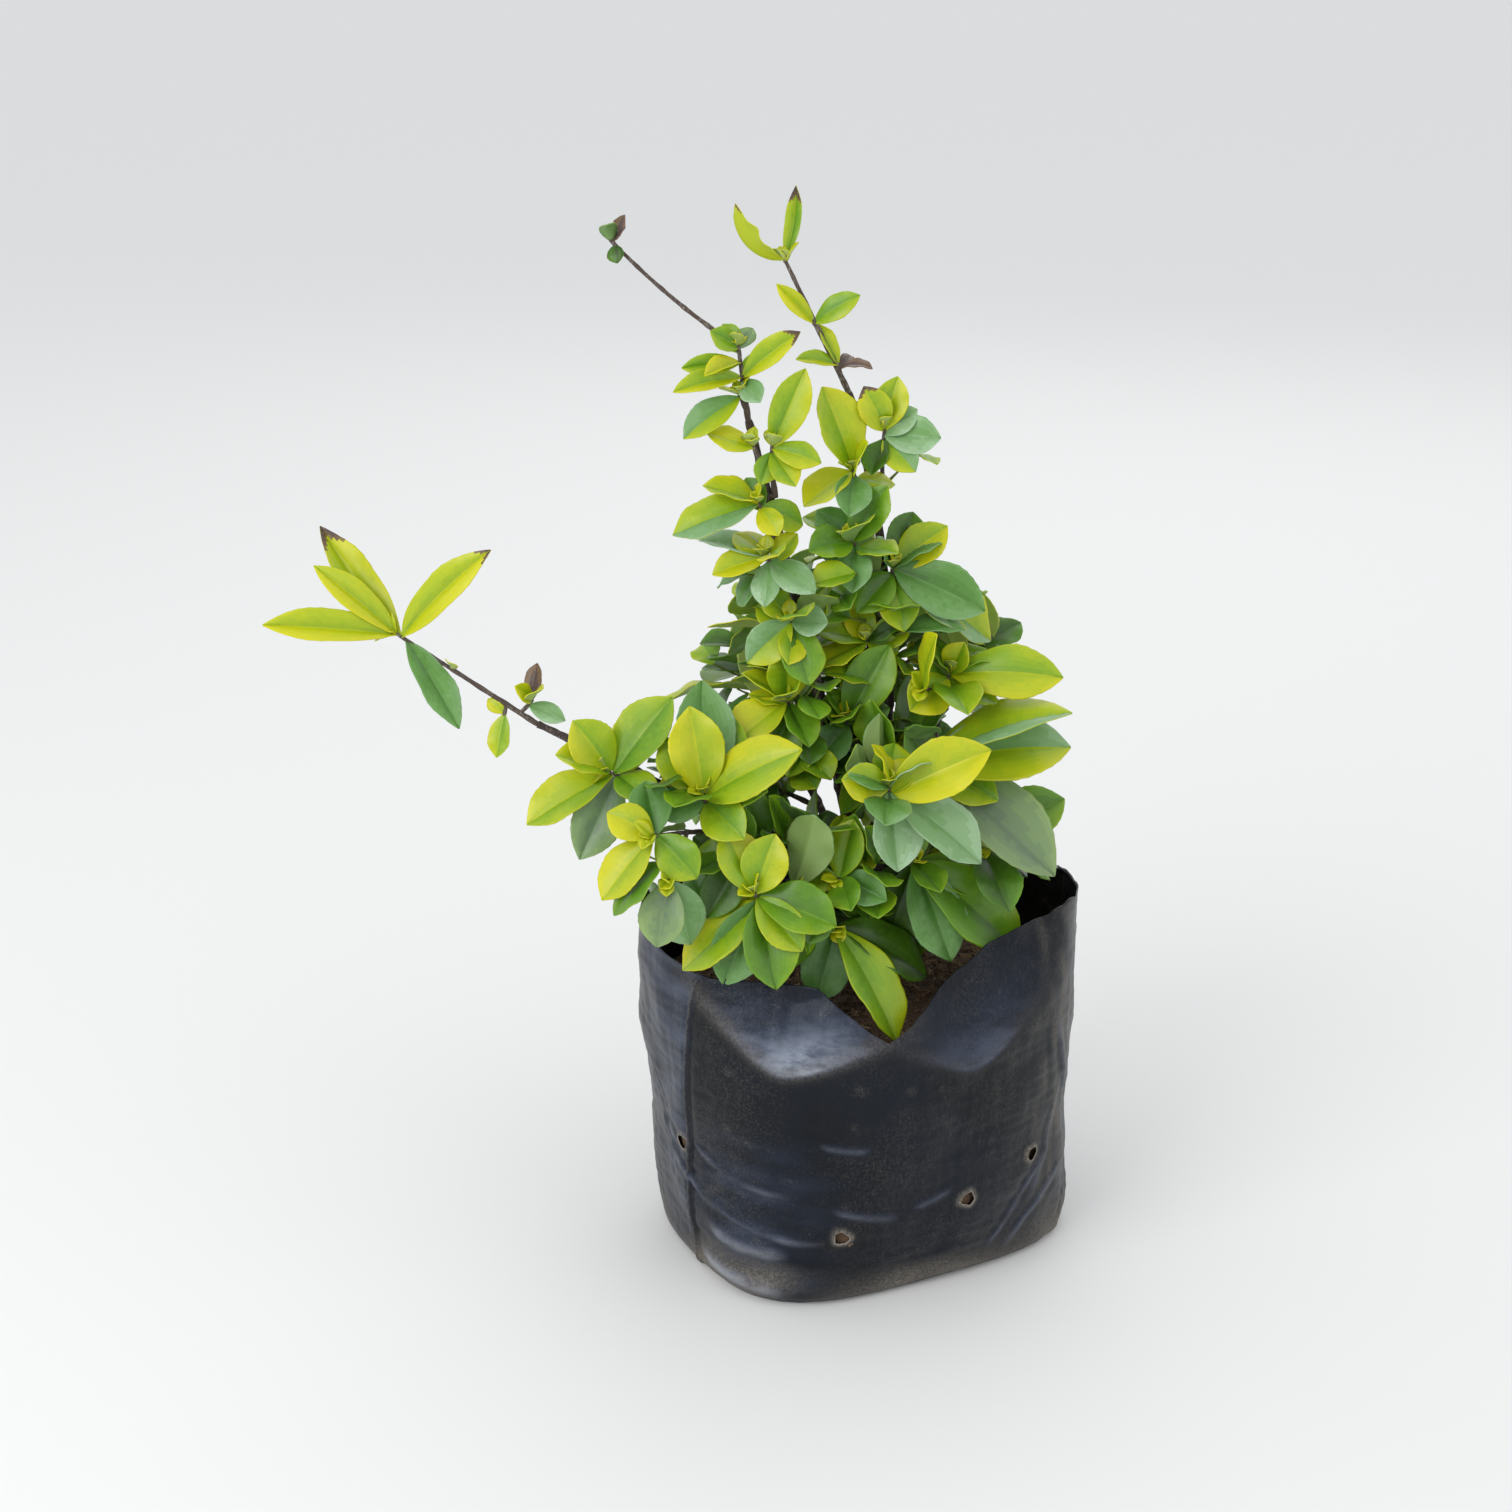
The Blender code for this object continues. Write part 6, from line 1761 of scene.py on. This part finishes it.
class DURANTA_OT_soil(bpy.types.Operator):
    """Make the potting soil with its crumbs, coir fibres and chips of husk"""
    bl_idname = "duranta.soil"
    bl_label = "Soil"

    def execute(self, context):
        sizes = context.scene.duranta_soil
        soil = add_object("soil_top", soil_mesh(sizes, context.scene.duranta_bag))
        soil.data.materials.append(
            flecked_material("potting_soil", (94, 77, 60), (164, 140, 112), 700.0, SOIL))
        tree = litter_tree()
        bed = add_object("soil_bed", soil_bed(soil.data))
        litter = (
            ("soil_crumbs", crumb_mesh(), sizes.crumb_density, 3, 0.5, 1.7, math.tau,
             (104, 84, 66), (176, 152, 122)),
            ("soil_fibres", fibre_mesh(), sizes.fibre_density, 5, 0.5, 1.5, 0.5,
             (140, 106, 70), (196, 166, 124)),
            ("soil_husks", husk_mesh(), sizes.husk_density, 8, 0.5, 1.9, 0.7,
             (160, 132, 100), (222, 204, 174)),
        )
        for name, mesh, density, seed, smallest, largest, tilt, dark, pale in litter:
            shape = add_object(name + "_shape", mesh)
            made = run_tree(bed, tree, name, Density=density, Seed=seed, Smallest=smallest, Largest=largest,
                            Tilt=tilt, Shape=shape, Material=flecked_material(name, dark, pale, 1100.0, SOIL))
            bpy.data.objects.remove(shape)
            dress(add_object(name, made), [])
        bpy.data.objects.remove(bed)
        dress(soil, ["soil"])
        plugs = add_object("soil_in_holes", hole_soil_mesh())
        plugs.data.materials.append(
            flecked_material("soil_in_holes", (96, 74, 56), (156, 130, 104), 1400.0, SOIL))
        dress(plugs, [])
        return {"FINISHED"}


PLUG_DEPTH = 0.0022        # of the middle of a hole's soil behind the film
PLUG_RADIUS, PLUG_BULGE = 0.0048, 0.0014


def hole_soil_mesh():
    """Lumps of soil that stand in the drain holes, just inside the film."""
    soup = Soup()
    for index, (direction, height) in enumerate(BAG_HOLES):
        out = film_point(direction, height, 0.0, 1.0) - film_point(direction, height)
        out = Vector((out.x, out.y, 0)).normalized()
        push = film_detail(direction, height, bpy.context.scene.duranta_bag)[0]
        centre = film_point(direction, height, 0.0, push) - out * PLUG_DEPTH
        side = UP.cross(out)
        bm = bmesh.new()
        bmesh.ops.create_icosphere(bm, subdivisions=3, radius=1.0)
        first = len(soup.verts)
        for vert in bm.verts:
            lump = 1 + 0.16 * noise.noise(vert.co * 3.1 + Vector((index, 2, 5)))
            lump += 0.06 * noise.noise(vert.co * 11)
            x, y, z = vert.co * lump
            at = centre + side * (x * PLUG_RADIUS) + UP * (y * PLUG_RADIUS)
            soup.verts.append(at + out * (z * PLUG_BULGE))
        soup.faces.extend(tuple(first + v.index for v in face.verts) for face in bm.faces)
        soup.slots.extend([0] * len(bm.faces))
        bm.free()
    return soup.mesh("soil_in_holes", [])


LOWEST_LITTER = 0.076
LITTER_MARGIN = 0.0065     # between the litter and the film


def soil_bed(mesh):
    """The top of the soil, without its edge along the film."""
    bm = bmesh.new()
    bm.from_mesh(mesh)
    rim = ring_at(SOIL_WALL_HEIGHT)
    outside = []
    for vert in bm.verts:
        x, y = vert.co.x - rim[3], vert.co.y - rim[4]
        edge = film_radius(math.degrees(math.atan2(y, x)), SOIL_WALL_HEIGHT)
        if vert.co.z < LOWEST_LITTER or math.hypot(x, y) > edge - LITTER_MARGIN:
            outside.append(vert)
    bmesh.ops.delete(bm, geom=outside, context="VERTS")
    return to_mesh(bm, "soil_bed")


def crumb_mesh():
    """A lump about a millimetre across."""
    bm = bmesh.new()
    bmesh.ops.create_icosphere(bm, subdivisions=1, radius=0.00075)
    rng = random.Random("crumb")
    for vert in bm.verts:
        vert.co *= rng.uniform(0.65, 1.25)
    return to_mesh(bm, "crumb")


def fibre_mesh():
    """A bent strand of coir about eight millimetres long."""
    bm = bmesh.new()
    steps, length, radius = 7, 0.008, 0.00011
    rings = []
    for k in range(steps + 1):
        t = k / steps
        at = Vector((length * (t - 0.5), 0.0016 * math.sin(3.2 * t), 0.0008 * math.sin(5 * t) + 0.0004))
        thin = radius * (1 - 0.6 * t)
        corners = (Vector((0, thin * math.cos(a), thin * math.sin(a))) for a in (0.5, 2.6, 4.7))
        rings.append([bm.verts.new(at + corner) for corner in corners])
    for lower, upper in zip(rings, rings[1:]):
        join_rings(bm, lower, upper)
    bm.faces.new(rings[0][::-1])
    bm.faces.new(rings[-1])
    return to_mesh(bm, "fibre", outward=True)


def husk_mesh():
    """A thin curled chip about four millimetres long."""
    bm = bmesh.new()
    bmesh.ops.create_cube(bm, size=1.0)
    long_edges = [e for e in bm.edges if abs(e.verts[0].co.x - e.verts[1].co.x) > 0.5]
    bmesh.ops.subdivide_edges(bm, edges=long_edges, cuts=3)
    for vert in bm.verts:
        x, y, z = vert.co
        taper = 1 - 0.9 * x * x
        curl = 0.0009 * (x * x * 2 - 0.2)
        vert.co = Vector((x * 0.0042, y * 0.0015 * taper, z * 0.00026 + curl + 0.0004 * y))
    return to_mesh(bm, "husk")


FLOOR_LEVEL = -0.0002
LIT_POINT = Vector((0, 0, 0.15))


class DURANTA_OT_stage(bpy.types.Operator):
    """Set the pale floor, the soft lights and the camera"""
    bl_idname = "duranta.stage"
    bl_label = "Stage"

    def execute(self, context):
        sizes = context.scene.duranta_stage
        bm = bmesh.new()
        bmesh.ops.create_grid(bm, x_segments=1, y_segments=1, size=sizes.floor_size / 2,
                              matrix=Matrix.Translation((0, 0, FLOOR_LEVEL)))
        floor = add_object("floor", to_mesh(bm, "floor"))
        material, tree, shader = new_material("floor_paint", (230, 230, 228), 0.85)
        fill(tree, shader, {"Base Color": (*sizes.floor_colour, 1.0)})
        floor.data.materials.append(material)
        world = bpy.data.worlds.new("studio")
        world.use_nodes = True
        fill(world.node_tree, world.node_tree.nodes["Background"], {
            "Color": (0.96, 0.98, 1.0, 1.0), "Strength": sizes.sky})
        context.scene.world = world
        for name, power, size, place in (("key_light", sizes.key_power, 0.8, (-0.78, -0.84, 0.84)),
                                         ("fill_light", sizes.fill_power, 1.2, (1.1, -0.7, 0.8)),
                                         ("back_light", sizes.back_power, 1.2, (0.3, 1.1, 1.1))):
            light = bpy.data.lights.new(name, "AREA")
            light.energy = power
            light.size = size
            lamp = add_object(name, light)
            lamp.location = place
            lamp.rotation_euler = (LIT_POINT - Vector(place)).to_track_quat("-Z", "Y").to_euler()
        data = bpy.data.cameras.new("camera")
        data.lens = sizes.camera_lens
        data.sensor_width = 36.0
        data.clip_start = 0.01
        camera = add_object("camera", data)
        up = sizes.camera_elevation
        back = Vector((0, -math.cos(up), math.sin(up)))
        camera.location = Vector(sizes.camera_target) + sizes.camera_distance * back
        camera.rotation_euler = (math.pi / 2 - up, 0, 0)
        context.scene.camera = camera
        context.scene.view_settings.view_transform = "Standard"
        return {"FINISHED"}


SIZE_GROUPS = {"duranta_plant": PlantSizes, "duranta_bag": BagSizes, "duranta_soil": SoilSizes,
               "duranta_stage": StageSizes}
OPERATORS = (DURANTA_OT_stage, DURANTA_OT_limbs, DURANTA_OT_twigs, DURANTA_OT_leaves, DURANTA_OT_bag,
             DURANTA_OT_soil)


class DURANTA_PT_panel(bpy.types.Panel):
    """Lists the plant's sizes and the steps that make it"""
    bl_idname = "DURANTA_PT_panel"
    bl_label = "Potted golden duranta"
    bl_space_type = "VIEW_3D"
    bl_region_type = "UI"
    bl_category = "Duranta"

    def draw(self, context):
        for group in SIZE_GROUPS:
            sizes = getattr(context.scene, group)
            box = self.layout.box()
            for name in sizes.bl_rna.properties.keys():
                if name not in ("rna_type", "name"):
                    box.prop(sizes, name)
        for operator in OPERATORS:
            self.layout.operator(operator.bl_idname)


CLASSES = (*SIZE_GROUPS.values(), *OPERATORS, DURANTA_PT_panel)


def register():
    for cls in CLASSES:
        bpy.utils.register_class(cls)
    for name, cls in SIZE_GROUPS.items():
        setattr(bpy.types.Scene, name, PointerProperty(type=cls))


def unregister():
    for name in SIZE_GROUPS:
        delattr(bpy.types.Scene, name)
    for cls in reversed(CLASSES):
        bpy.utils.unregister_class(cls)


def main():
    register()
    bpy.ops.duranta.stage()
    bpy.ops.duranta.limbs()
    bpy.ops.duranta.twigs()
    bpy.ops.duranta.leaves()
    bpy.ops.duranta.bag()
    bpy.ops.duranta.soil()


if __name__ == "__main__":
    main()
